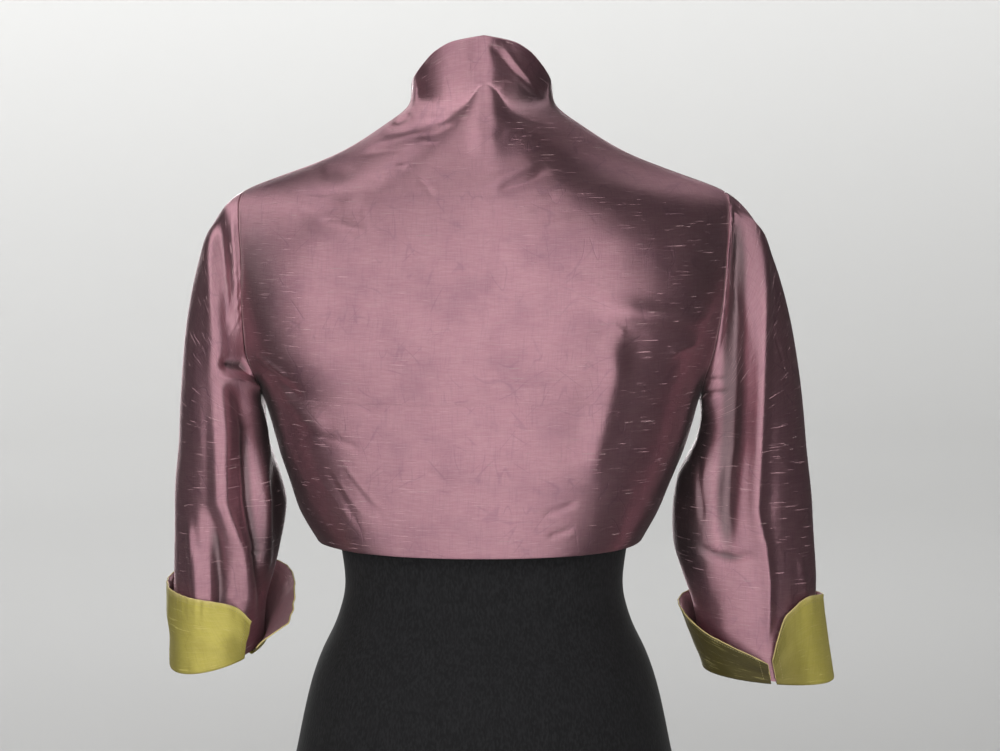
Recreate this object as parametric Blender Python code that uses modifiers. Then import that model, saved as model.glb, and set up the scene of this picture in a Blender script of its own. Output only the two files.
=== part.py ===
"""A cropped silk jacket with a grown-on stand collar and turned-back cuffs, on a counter-top dress form.

Metres, +Z up. The wearer faces -Y and the wearer's left is +X. The origin is the middle of the form's foot.
"""

import math
from collections import namedtuple

import bmesh
import bpy
from mathutils import Vector

# Cloth
CLOTH_WALL = 0.0014
CUFF_WALL = 0.0010
SEAM_GAP = 0.0006
LAYER_GAP = 0.0004

# Heights of the jacket's landmarks
HEM = 0.299
UNDERARM = 0.417
SHOULDER_POINT = 0.577
NECK = 0.648
CAP_END = 0.385

# How far the armhole reaches round the body from the side, in degrees
ARMHOLE_BACK = 24.0
ARMHOLE_FRONT = 30.0
ARMHOLE_SQUARENESS = 0.70

# The form carries the jacket at the shoulders and neck
SEAT_START = 0.590
SEAT_DROP = 0.0012
SEAT_EASE = 0.0022
FORM_TOP = 0.660

# Number of faces along and across the cloth
SLEEVE_RIBS = 32
BACK_COLUMNS = 24
FRONT_COLUMNS = 7
WAIST_ROWS = 6
SHOULDER_ROWS = 10
COLLAR_ROWS = (0.33, 0.67, 1.0)
CAP_ROWS = 7
SLEEVE_ROWS = 10
CUFF_ROWS = 3
FORM_COLUMNS = 32

# A narrow strip along a panel's seam edge keeps the two walls' edges there parallel, in degrees of turn
SEAM_STRIP = 1.5
# The shoulder's rows lie closer together near the shoulder point
SHOULDER_CROWDING = 1.5
# The back's folds fade out over this turn from a seam, in degrees
FOLD_FADE = 12.0
# How sharply a fold falls off to its sides, and the shares of its length it overruns and fades over
FOLD_SHARPNESS = 1.5
FOLD_OVERRUN = 0.16
FOLD_TAPER = 0.40
SLEEVE_FOLD_TAPER = 0.25
# Steps for the slope of a surface: degrees of turn and metres of height
SLOPE_TURN = 0.5
SLOPE_HEIGHT = 0.002

# How the sleeve head leaves the armhole, outwards and down, at the shoulder and under the arm
CapStart = namedtuple("CapStart", "out down")
CAP_SHOULDER = CapStart(1.0, 0.5)
CAP_UNDERARM = CapStart(0.35, 1.0)
CAP_SPREAD = 0.3
# How far each end of the sleeve head keeps its direction, as a share of its length
CAP_START_HOLD = 0.7
CAP_END_HOLD = 1.1
CAP_FOLD_START = 0.7
# A cuff flares more towards its edge
FLARE_CURVE = 1.2

# Each level section is a superellipse of its own power; a low power makes its two ends narrower
BodySection = namedtuple("BodySection", "height left_width right_width back_depth front_depth power")
BODY_SECTIONS = (
    BodySection(0.297, 0.133, 0.126, 0.104, 0.112, 2.20),
    BodySection(0.322, 0.148, 0.140, 0.107, 0.114, 2.20),
    BodySection(0.346, 0.156, 0.150, 0.109, 0.117, 2.20),
    BodySection(0.370, 0.164, 0.160, 0.111, 0.121, 2.20),
    BodySection(0.395, 0.171, 0.168, 0.112, 0.125, 2.20),
    BodySection(0.417, 0.178, 0.174, 0.113, 0.128, 2.20),
    BodySection(0.455, 0.200, 0.193, 0.114, 0.122, 2.20),
    BodySection(0.500, 0.206, 0.204, 0.112, 0.108, 2.20),
    BodySection(0.540, 0.206, 0.206, 0.106, 0.091, 1.95),
    BodySection(0.565, 0.203, 0.203, 0.099, 0.080, 1.65),
    BodySection(0.577, 0.194, 0.194, 0.095, 0.074, 1.50),
    BodySection(0.583, 0.181, 0.180, 0.092, 0.0705, 1.48),
    BodySection(0.588, 0.166, 0.165, 0.089, 0.067, 1.46),
    BodySection(0.598, 0.138, 0.137, 0.083, 0.061, 1.48),
    BodySection(0.610, 0.110, 0.109, 0.075, 0.056, 1.55),
    BodySection(0.630, 0.079, 0.077, 0.063, 0.051, 1.75),
    BodySection(0.648, 0.0575, 0.0545, 0.055, 0.048, 2.00),
    BodySection(0.664, 0.0570, 0.0535, 0.052, 0.047, 2.00),
    BodySection(0.700, 0.0570, 0.0535, 0.050, 0.046, 2.00),
)

# Height of the collar's top edge by the turn from the centre back, in degrees
CollarEdge = namedtuple("CollarEdge", "turn height")
COLLAR_EDGE = (
    CollarEdge(0, 0.698),
    CollarEdge(25, 0.694),
    CollarEdge(42, 0.687),
    CollarEdge(58, 0.677),
    CollarEdge(75, 0.668),
    CollarEdge(90, 0.663),
)

# Distance of each front edge from the middle, by height
FrontEdge = namedtuple("FrontEdge", "height gap")
FRONT_EDGE = (
    FrontEdge(0.297, 0.088),
    FrontEdge(0.310, 0.070),
    FrontEdge(0.335, 0.055),
    FrontEdge(0.380, 0.042),
    FrontEdge(0.440, 0.034),
    FrontEdge(0.520, 0.036),
    FrontEdge(0.580, 0.043),
    FrontEdge(0.620, 0.049),
    FrontEdge(0.648, 0.0505),
    FrontEdge(0.663, 0.0520),
)

# Broad folds of the back, along a line in the back view; rise is out of the cloth
BackFold = namedtuple("BackFold", "x_start z_start x_end z_end rise half_width")
BACK_FOLDS = (
    BackFold(0.165, 0.445, 0.110, 0.395, 0.0045, 0.016),
    BackFold(0.172, 0.405, 0.125, 0.372, -0.0040, 0.015),
    BackFold(-0.172, 0.462, -0.060, 0.470, 0.0035, 0.017),
    BackFold(-0.150, 0.410, -0.105, 0.360, -0.0050, 0.020),
    BackFold(0.150, 0.560, 0.060, 0.610, 0.0025, 0.014),
    BackFold(0.118, 0.345, 0.070, 0.318, 0.0025, 0.012),
)

SleeveSection = namedtuple("SleeveSection", "height reach set_back half_width half_depth")
# A fold runs down the sleeve; angles in degrees from the outer side, over the back
SleeveFold = namedtuple("SleeveFold", "top bottom angle_top angle_bottom rise half_angle")
# A cuff's edge by the angle round the sleeve, from one side of its slit to the other
CuffEdge = namedtuple("CuffEdge", "angle height flare")
Arm = namedtuple("Arm", "name side hem_height hem_tilt hem_low_angle sections folds cuff")

LEFT_ARM = Arm(
    name="left",
    side=1,
    hem_height=0.2060,
    hem_tilt=0.0110,
    hem_low_angle=30,
    sections=(
        SleeveSection(0.190, 0.2165, -0.004, 0.0365, 0.048),
        SleeveSection(0.240, 0.2150, -0.004, 0.0370, 0.051),
        SleeveSection(0.282, 0.2090, -0.003, 0.0415, 0.055),
        SleeveSection(0.329, 0.2045, -0.002, 0.0450, 0.057),
        SleeveSection(0.347, 0.2062, -0.002, 0.0425, 0.058),
        SleeveSection(0.385, 0.2100, -0.002, 0.0350, 0.060),
        SleeveSection(0.420, 0.2105, -0.002, 0.0340, 0.060),
    ),
    folds=(
        SleeveFold(0.540, 0.215, 62, 104, 0.0045, 19),
        SleeveFold(0.530, 0.260, 92, 122, -0.0060, 15),
        SleeveFold(0.415, 0.225, 118, 140, 0.0045, 17),
        SleeveFold(0.420, 0.215, 34, 66, -0.0040, 18),
        SleeveFold(0.380, 0.215, 250, 262, 0.0050, 24),
        SleeveFold(0.500, 0.240, 286, 296, -0.0045, 20),
    ),
    cuff=(
        CuffEdge(129, 0.030, 0.0060),
        CuffEdge(112, 0.046, 0.0050),
        CuffEdge(90, 0.055, 0.0050),
        CuffEdge(50, 0.063, 0.0040),
        CuffEdge(0, 0.068, 0.0030),
        CuffEdge(-90, 0.058, 0.0060),
        CuffEdge(-150, 0.054, 0.0100),
        CuffEdge(-185, 0.046, 0.0180),
        CuffEdge(-205, 0.034, 0.0270),
        CuffEdge(-217, 0.026, 0.0320),
    ),
)

RIGHT_ARM = Arm(
    name="right",
    side=-1,
    hem_height=0.1890,
    hem_tilt=0.0040,
    hem_low_angle=0,
    sections=(
        SleeveSection(0.180, 0.2330, -0.002, 0.0500, 0.043),
        SleeveSection(0.243, 0.2200, -0.002, 0.0500, 0.045),
        SleeveSection(0.270, 0.2150, -0.002, 0.0540, 0.046),
        SleeveSection(0.297, 0.2100, -0.002, 0.0570, 0.047),
        SleeveSection(0.320, 0.2090, -0.002, 0.0565, 0.048),
        SleeveSection(0.347, 0.2095, -0.002, 0.0535, 0.050),
        SleeveSection(0.385, 0.2160, -0.002, 0.0425, 0.055),
        SleeveSection(0.420, 0.2165, -0.002, 0.0400, 0.056),
    ),
    folds=(
        SleeveFold(0.540, 0.200, 62, 66, 0.0050, 19),
        SleeveFold(0.540, 0.290, 94, 88, -0.0060, 15),
        SleeveFold(0.430, 0.280, 120, 114, 0.0045, 18),
        SleeveFold(0.430, 0.215, 28, 34, -0.0040, 18),
        SleeveFold(0.390, 0.205, 256, 250, 0.0050, 24),
        SleeveFold(0.500, 0.240, 292, 284, -0.0045, 20),
    ),
    cuff=(
        CuffEdge(88, 0.018, 0.0030),
        CuffEdge(80, 0.036, 0.0035),
        CuffEdge(68, 0.056, 0.0040),
        CuffEdge(40, 0.070, 0.0035),
        CuffEdge(0, 0.067, 0.0030),
        CuffEdge(-90, 0.060, 0.0050),
        CuffEdge(-150, 0.057, 0.0060),
        CuffEdge(-185, 0.053, 0.0070),
        CuffEdge(-225, 0.036, 0.0050),
        CuffEdge(-255, 0.023, 0.0040),
        CuffEdge(-267, 0.016, 0.0030),
    ),
)

FormSection = namedtuple("FormSection", "height left_width right_width back_depth front_depth power")
FORM_SECTIONS = (
    FormSection(0.000, 0.157, 0.157, 0.104, 0.094, 2.20),
    FormSection(0.020, 0.160, 0.160, 0.107, 0.096, 2.20),
    FormSection(0.070, 0.162, 0.162, 0.108, 0.097, 2.20),
    FormSection(0.132, 0.151, 0.151, 0.103, 0.092, 2.20),
    FormSection(0.178, 0.141, 0.141, 0.096, 0.090, 2.20),
    FormSection(0.205, 0.132, 0.132, 0.088, 0.088, 2.20),
    FormSection(0.232, 0.119, 0.119, 0.078, 0.085, 2.20),
    FormSection(0.262, 0.112, 0.112, 0.072, 0.085, 2.20),
    FormSection(0.290, 0.115, 0.115, 0.073, 0.089, 2.20),
    FormSection(0.330, 0.124, 0.124, 0.079, 0.098, 2.20),
    FormSection(0.370, 0.135, 0.135, 0.088, 0.110, 2.20),
    FormSection(0.410, 0.145, 0.145, 0.095, 0.118, 2.20),
    FormSection(0.455, 0.154, 0.154, 0.099, 0.112, 2.20),
    FormSection(0.500, 0.161, 0.161, 0.098, 0.097, 2.20),
    FormSection(0.540, 0.166, 0.166, 0.095, 0.082, 2.00),
    FormSection(0.565, 0.167, 0.167, 0.091, 0.073, 1.80),
    FormSection(0.580, 0.165, 0.165, 0.088, 0.068, 1.65),
)
FORM_STEP = 0.036
SEAT_STEP = 0.007

Finish = namedtuple("Finish", "name colour roughness")
ROSE_SILK = Finish("rose_silk", (0.42, 0.20, 0.25), 0.45)
CHARTREUSE_SILK = Finish("chartreuse_silk", (0.40, 0.36, 0.08), 0.45)
FORM_JERSEY = Finish("form_jersey", (0.03, 0.03, 0.035), 0.85)


def remove_objects():
    for item in list(bpy.data.objects):
        bpy.data.objects.remove(item, do_unlink=True)


def column(table, name, at):
    """A smooth curve through one column of a table, without overshoot, read at a value of the first one."""
    rows = sorted(table)
    keys = [row[0] for row in rows]
    values = [getattr(row, name) for row in rows]
    if at <= keys[0]:
        return values[0]
    if at >= keys[-1]:
        return values[-1]
    steps = [b - a for a, b in zip(keys, keys[1:])]
    slopes = [(b - a) / step for a, b, step in zip(values, values[1:], steps)]
    tangents = [slopes[0]]
    for before, after in zip(slopes, slopes[1:]):
        level = before * after <= 0
        tangents.append(0.0 if level else 2 * before * after / (before + after))
    tangents.append(slopes[-1])
    i = next(k for k in range(len(steps)) if at <= keys[k + 1])
    t = (at - keys[i]) / steps[i]
    start = (1 + 2 * t) * (1 - t) ** 2 * values[i] + t * (1 - t) ** 2 * steps[i] * tangents[i]
    end = t * t * (3 - 2 * t) * values[i + 1] - t * t * (1 - t) * steps[i] * tangents[i + 1]
    return start + end


def soft_step(x):
    x = min(max(x, 0.0), 1.0)
    return x * x * (3 - 2 * x)


def signed_power(x, power):
    return math.copysign(abs(x) ** power, x)


def section_point(table, turn, height):
    """A point of a level section; turn is in degrees from the centre back, positive to the wearer's left."""
    angle = math.radians(turn)
    power = 2 / column(table, "power", height)
    width = "left_width" if turn > 0 else "right_width"
    depth = "back_depth" if abs(turn) < 90 else "front_depth"
    x = column(table, width, height) * signed_power(math.sin(angle), power)
    y = column(table, depth, height) * signed_power(math.cos(angle), power)
    return Vector((x, y, height))


def back_fold(point):
    """How far the back's folds lift the cloth at a point of it."""
    lift = 0.0
    for fold in BACK_FOLDS:
        start = Vector((fold.x_start, fold.z_start))
        run = Vector((fold.x_end, fold.z_end)) - start
        along = (Vector((point.x, point.z)) - start).dot(run) / run.length_squared
        nearest = start + run * min(max(along, 0.0), 1.0)
        off = (Vector((point.x, point.z)) - nearest).length / fold.half_width
        fade = soft_step((0.5 + FOLD_OVERRUN - abs(along - 0.5)) / FOLD_TAPER)
        lift += fold.rise * fade * math.exp(-FOLD_SHARPNESS * off * off)
    return lift


def jacket_point(turn, height):
    return section_point(BODY_SECTIONS, turn, height)


def jacket_normal(turn, height):
    across = jacket_point(turn + SLOPE_TURN, height) - jacket_point(turn - SLOPE_TURN, height)
    along = jacket_point(turn, height + SLOPE_HEIGHT) - jacket_point(turn, height - SLOPE_HEIGHT)
    return along.cross(across).normalized()


def seam_turn(height, depth):
    """The turn just short of the side or shoulder seam, half a seam gap away from it."""
    half = SEAM_GAP / 2 / column(BODY_SECTIONS, depth, height)
    return math.degrees(math.acos(half ** (column(BODY_SECTIONS, "power", height) / 2)))


def armhole_height(angle):
    middle = (SHOULDER_POINT + UNDERARM) / 2
    return middle + (SHOULDER_POINT - UNDERARM) / 2 * math.cos(math.radians(angle))


def armhole_turn(angle, panel):
    """The turn of a panel's armhole edge; angle is 0 at the shoulder, 90 behind and 180 under the arm."""
    reach = abs(math.sin(math.radians(angle))) ** ARMHOLE_SQUARENESS
    seam = seam_turn(armhole_height(angle), panel + "_depth")
    if panel == "back":
        return min(90 - ARMHOLE_BACK * reach, seam)
    return max(90 + ARMHOLE_FRONT * reach, 180 - seam)


def spread(first, last, count):
    return [first + (last - first) * i / count for i in range(count + 1)]


def body_levels():
    """The panels' rows from the hem up: a height and, beside the armhole, the angle round it."""
    levels = [(height, None) for height in spread(HEM, UNDERARM, WAIST_ROWS)[:-1]]
    for i in range(SLEEVE_RIBS // 2 + 1):
        angle = 180 - 360 * i / SLEEVE_RIBS
        levels.append((armhole_height(angle), angle))
    for share in spread(0, 1, SHOULDER_ROWS)[1:]:
        levels.append((SHOULDER_POINT + (NECK - SHOULDER_POINT) * share ** SHOULDER_CROWDING, None))
    return levels


def back_turns(edge):
    inner = edge - SEAM_STRIP
    return [edge, *spread(inner, -inner, BACK_COLUMNS), -edge]


def back_rows():
    rows = []
    for height, angle in body_levels():
        edge = seam_turn(height, "back_depth") if angle is None else armhole_turn(angle, "back")
        rows.append([back_point(turn, height, edge) for turn in back_turns(edge)])
    edge = seam_turn(NECK, "back_depth")
    for rise in COLLAR_ROWS:
        row = []
        for turn in back_turns(edge):
            top = column(COLLAR_EDGE, "height", abs(turn))
            row.append(back_point(turn, NECK + rise * (top - NECK), edge))
        rows.append(row)
    return rows


def back_point(turn, height, edge):
    """A point of the back with its folds, which fade out towards the seam at the row's edge."""
    point = jacket_point(turn, height)
    fade = soft_step((edge - abs(turn)) / FOLD_FADE)
    return point + jacket_normal(turn, height) * back_fold(point) * fade


def front_rows(side):
    rows = []
    levels = body_levels()
    collar_end = COLLAR_EDGE[-1].height
    levels += [(NECK + rise * (collar_end - NECK), None) for rise in COLLAR_ROWS]
    for height, angle in levels:
        start = 180 - seam_turn(height, "front_depth")
        if angle is not None:
            start = armhole_turn(360 - angle, "front")
        width = "left_width" if side > 0 else "right_width"
        share = column(FRONT_EDGE, "gap", height) / column(BODY_SECTIONS, width, height)
        power = column(BODY_SECTIONS, "power", height)
        end = 180 - math.degrees(math.asin(share ** (power / 2)))
        turns = [start, *spread(start + SEAM_STRIP, end, FRONT_COLUMNS)]
        rows.append([jacket_point(side * turn, height) for turn in turns])
    return rows


def sleeve_fold(arm, angle, height):
    """How far the sleeve's folds lift the cloth at an angle and a height."""
    lift = 0.0
    for fold in arm.folds:
        down = (fold.top - height) / (fold.top - fold.bottom)
        centre = fold.angle_top + (fold.angle_bottom - fold.angle_top) * down
        off = ((angle - centre + 180) % 360 - 180) / fold.half_angle
        fade = soft_step(down / SLEEVE_FOLD_TAPER) * soft_step((1 + FOLD_OVERRUN - down) / SLEEVE_FOLD_TAPER)
        lift += fold.rise * fade * math.exp(-FOLD_SHARPNESS * off * off)
    return lift


def sleeve_ring_point(arm, angle, height):
    """A point of the sleeve below its cap; the angle is 0 on the outer side and 90 at the back."""
    turn = math.radians(angle)
    across = math.cos(turn)
    deep = math.sin(turn)
    half_width = column(arm.sections, "half_width", height)
    half_depth = column(arm.sections, "half_depth", height)
    normal = Vector((across * half_depth, deep * half_width)).normalized()
    lift = sleeve_fold(arm, angle, height)
    x = column(arm.sections, "reach", height) + half_width * across + lift * normal.x
    y = column(arm.sections, "set_back", height) + half_depth * deep + lift * normal.y
    return Vector((arm.side * x, y, height))


def sleeve_cap_point(arm, angle, t):
    """A point of the sleeve head, t from 0 at the armhole to 1 at the first level ring."""
    turn = math.radians(angle)
    panel = "back" if angle <= 180 else "front"
    edge = jacket_point(arm.side * armhole_turn(angle, panel), armhole_height(angle))
    foot = sleeve_ring_point(arm, angle, CAP_END)
    length = (foot - edge).length
    up = (1 + math.cos(turn)) / 2
    out = CAP_UNDERARM.out + (CAP_SHOULDER.out - CAP_UNDERARM.out) * up
    down = CAP_UNDERARM.down + (CAP_SHOULDER.down - CAP_UNDERARM.down) * up
    leave = Vector((arm.side * out, CAP_SPREAD * math.sin(turn), -down)).normalized()
    leave = leave * CAP_START_HOLD * length
    arrive = sleeve_ring_point(arm, angle, CAP_END - SLOPE_HEIGHT) - foot
    arrive = arrive.normalized() * CAP_END_HOLD * length
    start = edge + Vector((arm.side * SEAM_GAP, 0, 0))
    point = start * ((1 + 2 * t) * (1 - t) ** 2) + leave * (t * (1 - t) ** 2)
    point += foot * (t * t * (3 - 2 * t)) - arrive * (t * t * (1 - t))
    lift = sleeve_fold(arm, angle, point.z) * soft_step(t / CAP_FOLD_START) * (1 - t)
    return point + Vector((arm.side * math.cos(turn), math.sin(turn), 0)) * lift


def sleeve_hem(arm, angle):
    return arm.hem_height - arm.hem_tilt * math.cos(math.radians(angle - arm.hem_low_angle))


def sleeve_rows(arm):
    angles = [360 * i / SLEEVE_RIBS for i in range(SLEEVE_RIBS)]
    rows = [[sleeve_cap_point(arm, angle, t) for angle in angles] for t in spread(0, 1, CAP_ROWS)]
    for down in spread(0, 1, SLEEVE_ROWS)[1:]:
        row = []
        for angle in angles:
            height = CAP_END + (sleeve_hem(arm, angle) - CAP_END) * down
            row.append(sleeve_ring_point(arm, angle, height))
        rows.append(row)
    return rows


def cuff_angles(arm):
    """The slit's two sides and, between them, the angles of the sleeve's own ribs."""
    step = 360 / SLEEVE_RIBS
    first = arm.cuff[0].angle
    last = arm.cuff[-1].angle
    ribs = [step * i for i in range(math.ceil(first / step) - 1, math.floor(last / step), -1)]
    return [first, *ribs, last]


def cuff_rows(arm):
    """Rows of a turned-back cuff from its fold up, a layer away from the sleeve."""
    rows = []
    for up in spread(0, 1, CUFF_ROWS):
        row = []
        for angle in cuff_angles(arm):
            rise = column(arm.cuff, "height", angle) * up
            away = LAYER_GAP + CUFF_WALL + column(arm.cuff, "flare", angle) * up ** FLARE_CURVE
            point = sleeve_ring_point(arm, angle, sleeve_hem(arm, angle) + rise)
            turn = math.radians(angle)
            normal = Vector((
                arm.side * math.cos(turn) / column(arm.sections, "half_width", point.z),
                math.sin(turn) / column(arm.sections, "half_depth", point.z),
                0,
            ))
            row.append(point + normal.normalized() * away)
        rows.append(row)
    return rows


def moved_out(rows, inside, distance):
    """The same rows of points, a distance further from the inside along the sheet's own normals."""
    moved = []
    last_row = len(rows) - 1
    last = len(rows[0]) - 1
    for r, row in enumerate(rows):
        moved.append([])
        for i, point in enumerate(row):
            across = row[min(i + 1, last)] - row[max(i - 1, 0)]
            along = rows[min(r + 1, last_row)][i] - rows[max(r - 1, 0)][i]
            normal = across.cross(along).normalized()
            if normal.dot(point - inside) < 0:
                normal.negate()
            moved[-1].append(point + normal * distance)
    return moved


def form_sections():
    """The form's table with its shoulders and neck, which follow the jacket's inside a small way off."""
    rows = list(FORM_SECTIONS)
    count = round((FORM_TOP - SEAT_START) / SEAT_STEP)
    for height in spread(SEAT_START, FORM_TOP, count):
        sizes = []
        for name in ("left_width", "right_width", "back_depth", "front_depth"):
            sizes.append(column(BODY_SECTIONS, name, height + SEAT_DROP) - SEAT_EASE)
        rows.append(FormSection(height, *sizes, column(BODY_SECTIONS, "power", height + SEAT_DROP)))
    return rows


def form_rows():
    table = form_sections()
    heights = spread(0, FORM_SECTIONS[-1].height, round(FORM_SECTIONS[-1].height / FORM_STEP))
    heights += [row.height for row in table if row.height >= SEAT_START]
    turns = [360 * i / FORM_COLUMNS for i in range(FORM_COLUMNS)]
    return [[section_point(table, (turn + 180) % 360 - 180, height) for turn in turns] for height in heights]


def make_material(finish):
    material = bpy.data.materials.new(finish.name)
    material.use_nodes = True
    shader = material.node_tree.nodes["Principled BSDF"]
    shader.inputs["Base Color"].default_value = (*finish.colour, 1)
    shader.inputs["Roughness"].default_value = finish.roughness
    shader.inputs["Metallic"].default_value = 0.0
    material.diffuse_color = (*finish.colour, 1)
    return material


def loft(name, rows, wraps, inside, capped=False):
    """A sheet through rows of points, its faces turned from the inside; wraps joins each row's two ends."""
    shape = bmesh.new()
    grid = [[shape.verts.new(point) for point in row] for row in rows]
    for low, high in zip(grid, grid[1:]):
        count = len(low)
        for i in range(count if wraps else count - 1):
            j = (i + 1) % count
            shape.faces.new((low[i], low[j], high[j], high[i]))
    shape.faces.ensure_lookup_table()
    shape.normal_update()
    middle = shape.faces[len(shape.faces) // 2]
    if middle.normal.dot(middle.calc_center_median() - inside) < 0:
        bmesh.ops.reverse_faces(shape, faces=shape.faces)
    if capped:
        shape.faces.new(grid[0])
        shape.faces.new(grid[-1])
        bmesh.ops.recalc_face_normals(shape, faces=shape.faces)
    mesh = bpy.data.meshes.new(name)
    shape.to_mesh(mesh)
    shape.free()
    mesh.shade_smooth()
    return bpy.data.objects.new(name, mesh)


def add_wall(item, thickness):
    wall = item.modifiers.new("wall", "SOLIDIFY")
    wall.thickness = thickness
    wall.offset = -1
    wall.use_quality_normals = True


def make_jacket(add):
    chest = Vector((0, 0, UNDERARM))
    add(loft("back", back_rows(), False, chest), "rose_silk", CLOTH_WALL)
    for name, side in (("front_left", 1), ("front_right", -1)):
        add(loft(name, front_rows(side), False, chest), "rose_silk", CLOTH_WALL)
    for arm in (LEFT_ARM, RIGHT_ARM):
        middle = Vector((arm.side * column(arm.sections, "reach", CAP_END), 0, CAP_END))
        add(loft("sleeve_" + arm.name, sleeve_rows(arm), True, middle), "rose_silk", CLOTH_WALL)
        hem = Vector((arm.side * column(arm.sections, "reach", arm.hem_height), 0, arm.hem_height))
        cuff = cuff_rows(arm)
        facing = moved_out(cuff, hem, LAYER_GAP + CUFF_WALL)
        add(loft("cuff_" + arm.name, cuff, False, hem), "rose_silk", CUFF_WALL)
        add(loft("cuff_facing_" + arm.name, facing, False, hem), "chartreuse_silk", CUFF_WALL)


def make_form(add):
    add(loft("dress_form", form_rows(), True, Vector((0, 0, HEM)), capped=True), "form_jersey", None)


def main():
    remove_objects()
    jacket = bpy.data.collections.new("cropped_jacket_on_dress_form")
    bpy.context.scene.collection.children.link(jacket)
    materials = {f.name: make_material(f) for f in (ROSE_SILK, CHARTREUSE_SILK, FORM_JERSEY)}

    def add(item, finish, wall):
        jacket.objects.link(item)
        item.data.materials.append(materials[finish])
        if wall:
            add_wall(item, wall)

    make_jacket(add)
    make_form(add)


main()
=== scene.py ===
import math

import bmesh
import bpy
import numpy as np
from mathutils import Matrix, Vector


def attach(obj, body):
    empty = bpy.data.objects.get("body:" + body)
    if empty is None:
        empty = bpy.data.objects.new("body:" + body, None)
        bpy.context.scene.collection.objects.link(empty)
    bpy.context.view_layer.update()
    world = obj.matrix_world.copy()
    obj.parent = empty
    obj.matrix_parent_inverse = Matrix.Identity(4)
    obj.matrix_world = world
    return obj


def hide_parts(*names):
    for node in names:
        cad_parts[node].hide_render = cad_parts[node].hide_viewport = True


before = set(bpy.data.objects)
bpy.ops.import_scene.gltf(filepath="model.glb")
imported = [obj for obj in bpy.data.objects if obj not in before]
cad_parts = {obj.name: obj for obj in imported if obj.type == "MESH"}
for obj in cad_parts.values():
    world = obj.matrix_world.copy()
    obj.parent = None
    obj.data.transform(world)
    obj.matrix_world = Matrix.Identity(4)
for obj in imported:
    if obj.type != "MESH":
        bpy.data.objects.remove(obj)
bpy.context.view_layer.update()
scene = bpy.context.scene
scene.view_settings.view_transform = "Standard"
print("frame loaded:", len(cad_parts), "nodes")


# Curves and noise

def smoothCurve(keys, values):  # passes through the points without overshoot
    keys = np.asarray(keys, float)
    values = np.asarray(values, float)
    steps = np.diff(keys)
    slopes = np.diff(values) / steps
    before, after = slopes[:-1], slopes[1:]
    same = before * after > 0
    inner = np.where(same, 2 * before * after / np.where(same, before + after, 1), 0)
    tangents = np.concatenate((slopes[:1], inner, slopes[-1:]))

    def read(at):
        at = np.clip(at, keys[0], keys[-1])
        i = np.clip(np.searchsorted(keys, at, side="right") - 1, 0, len(steps) - 1)
        t = (at - keys[i]) / steps[i]
        start = (1 + 2 * t) * (1 - t) ** 2 * values[i] + t * (1 - t) ** 2 * steps[i] * tangents[i]
        return start + t * t * (3 - 2 * t) * values[i + 1] - t * t * (1 - t) * steps[i] * tangents[i + 1]
    return read


def easedCurve(keys, values, blur):  # the same, with its quick turns eased over a few millimetres
    curve = smoothCurve(keys, values)
    at = np.linspace(keys[0], keys[-1], 1600)
    step = at[1] - at[0]
    reach = int(3 * blur / step)
    weights = np.exp(-0.5 * (np.arange(-reach, reach + 1) * step / blur) ** 2)
    padded = np.pad(curve(at), reach, mode="reflect", reflect_type="odd")
    eased = np.convolve(padded, weights / weights.sum(), mode="valid")
    return lambda x: np.interp(x, at, eased)


def softStep(x):
    x = np.clip(x, 0, 1)
    return x * x * (3 - 2 * x)


def ripple(u, v, seed):  # even noise from -1 to 1, one bump to a unit
    lattice = np.random.default_rng(seed).uniform(-1, 1, (64, 64))
    i, j = np.floor(u).astype(int), np.floor(v).astype(int)
    s, t = softStep(u - i), softStep(v - j)
    i, j, k, m = i % 64, j % 64, (i + 1) % 64, (j + 1) % 64
    low = lattice[i, j] * (1 - s) + lattice[k, j] * s
    high = lattice[i, m] * (1 - s) + lattice[k, m] * s
    return low * (1 - t) + high * t


def unit(v):
    return v / np.maximum(np.linalg.norm(v, axis=-1, keepdims=True), 1e-12)


# Body form, the same sections as the solids

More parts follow.
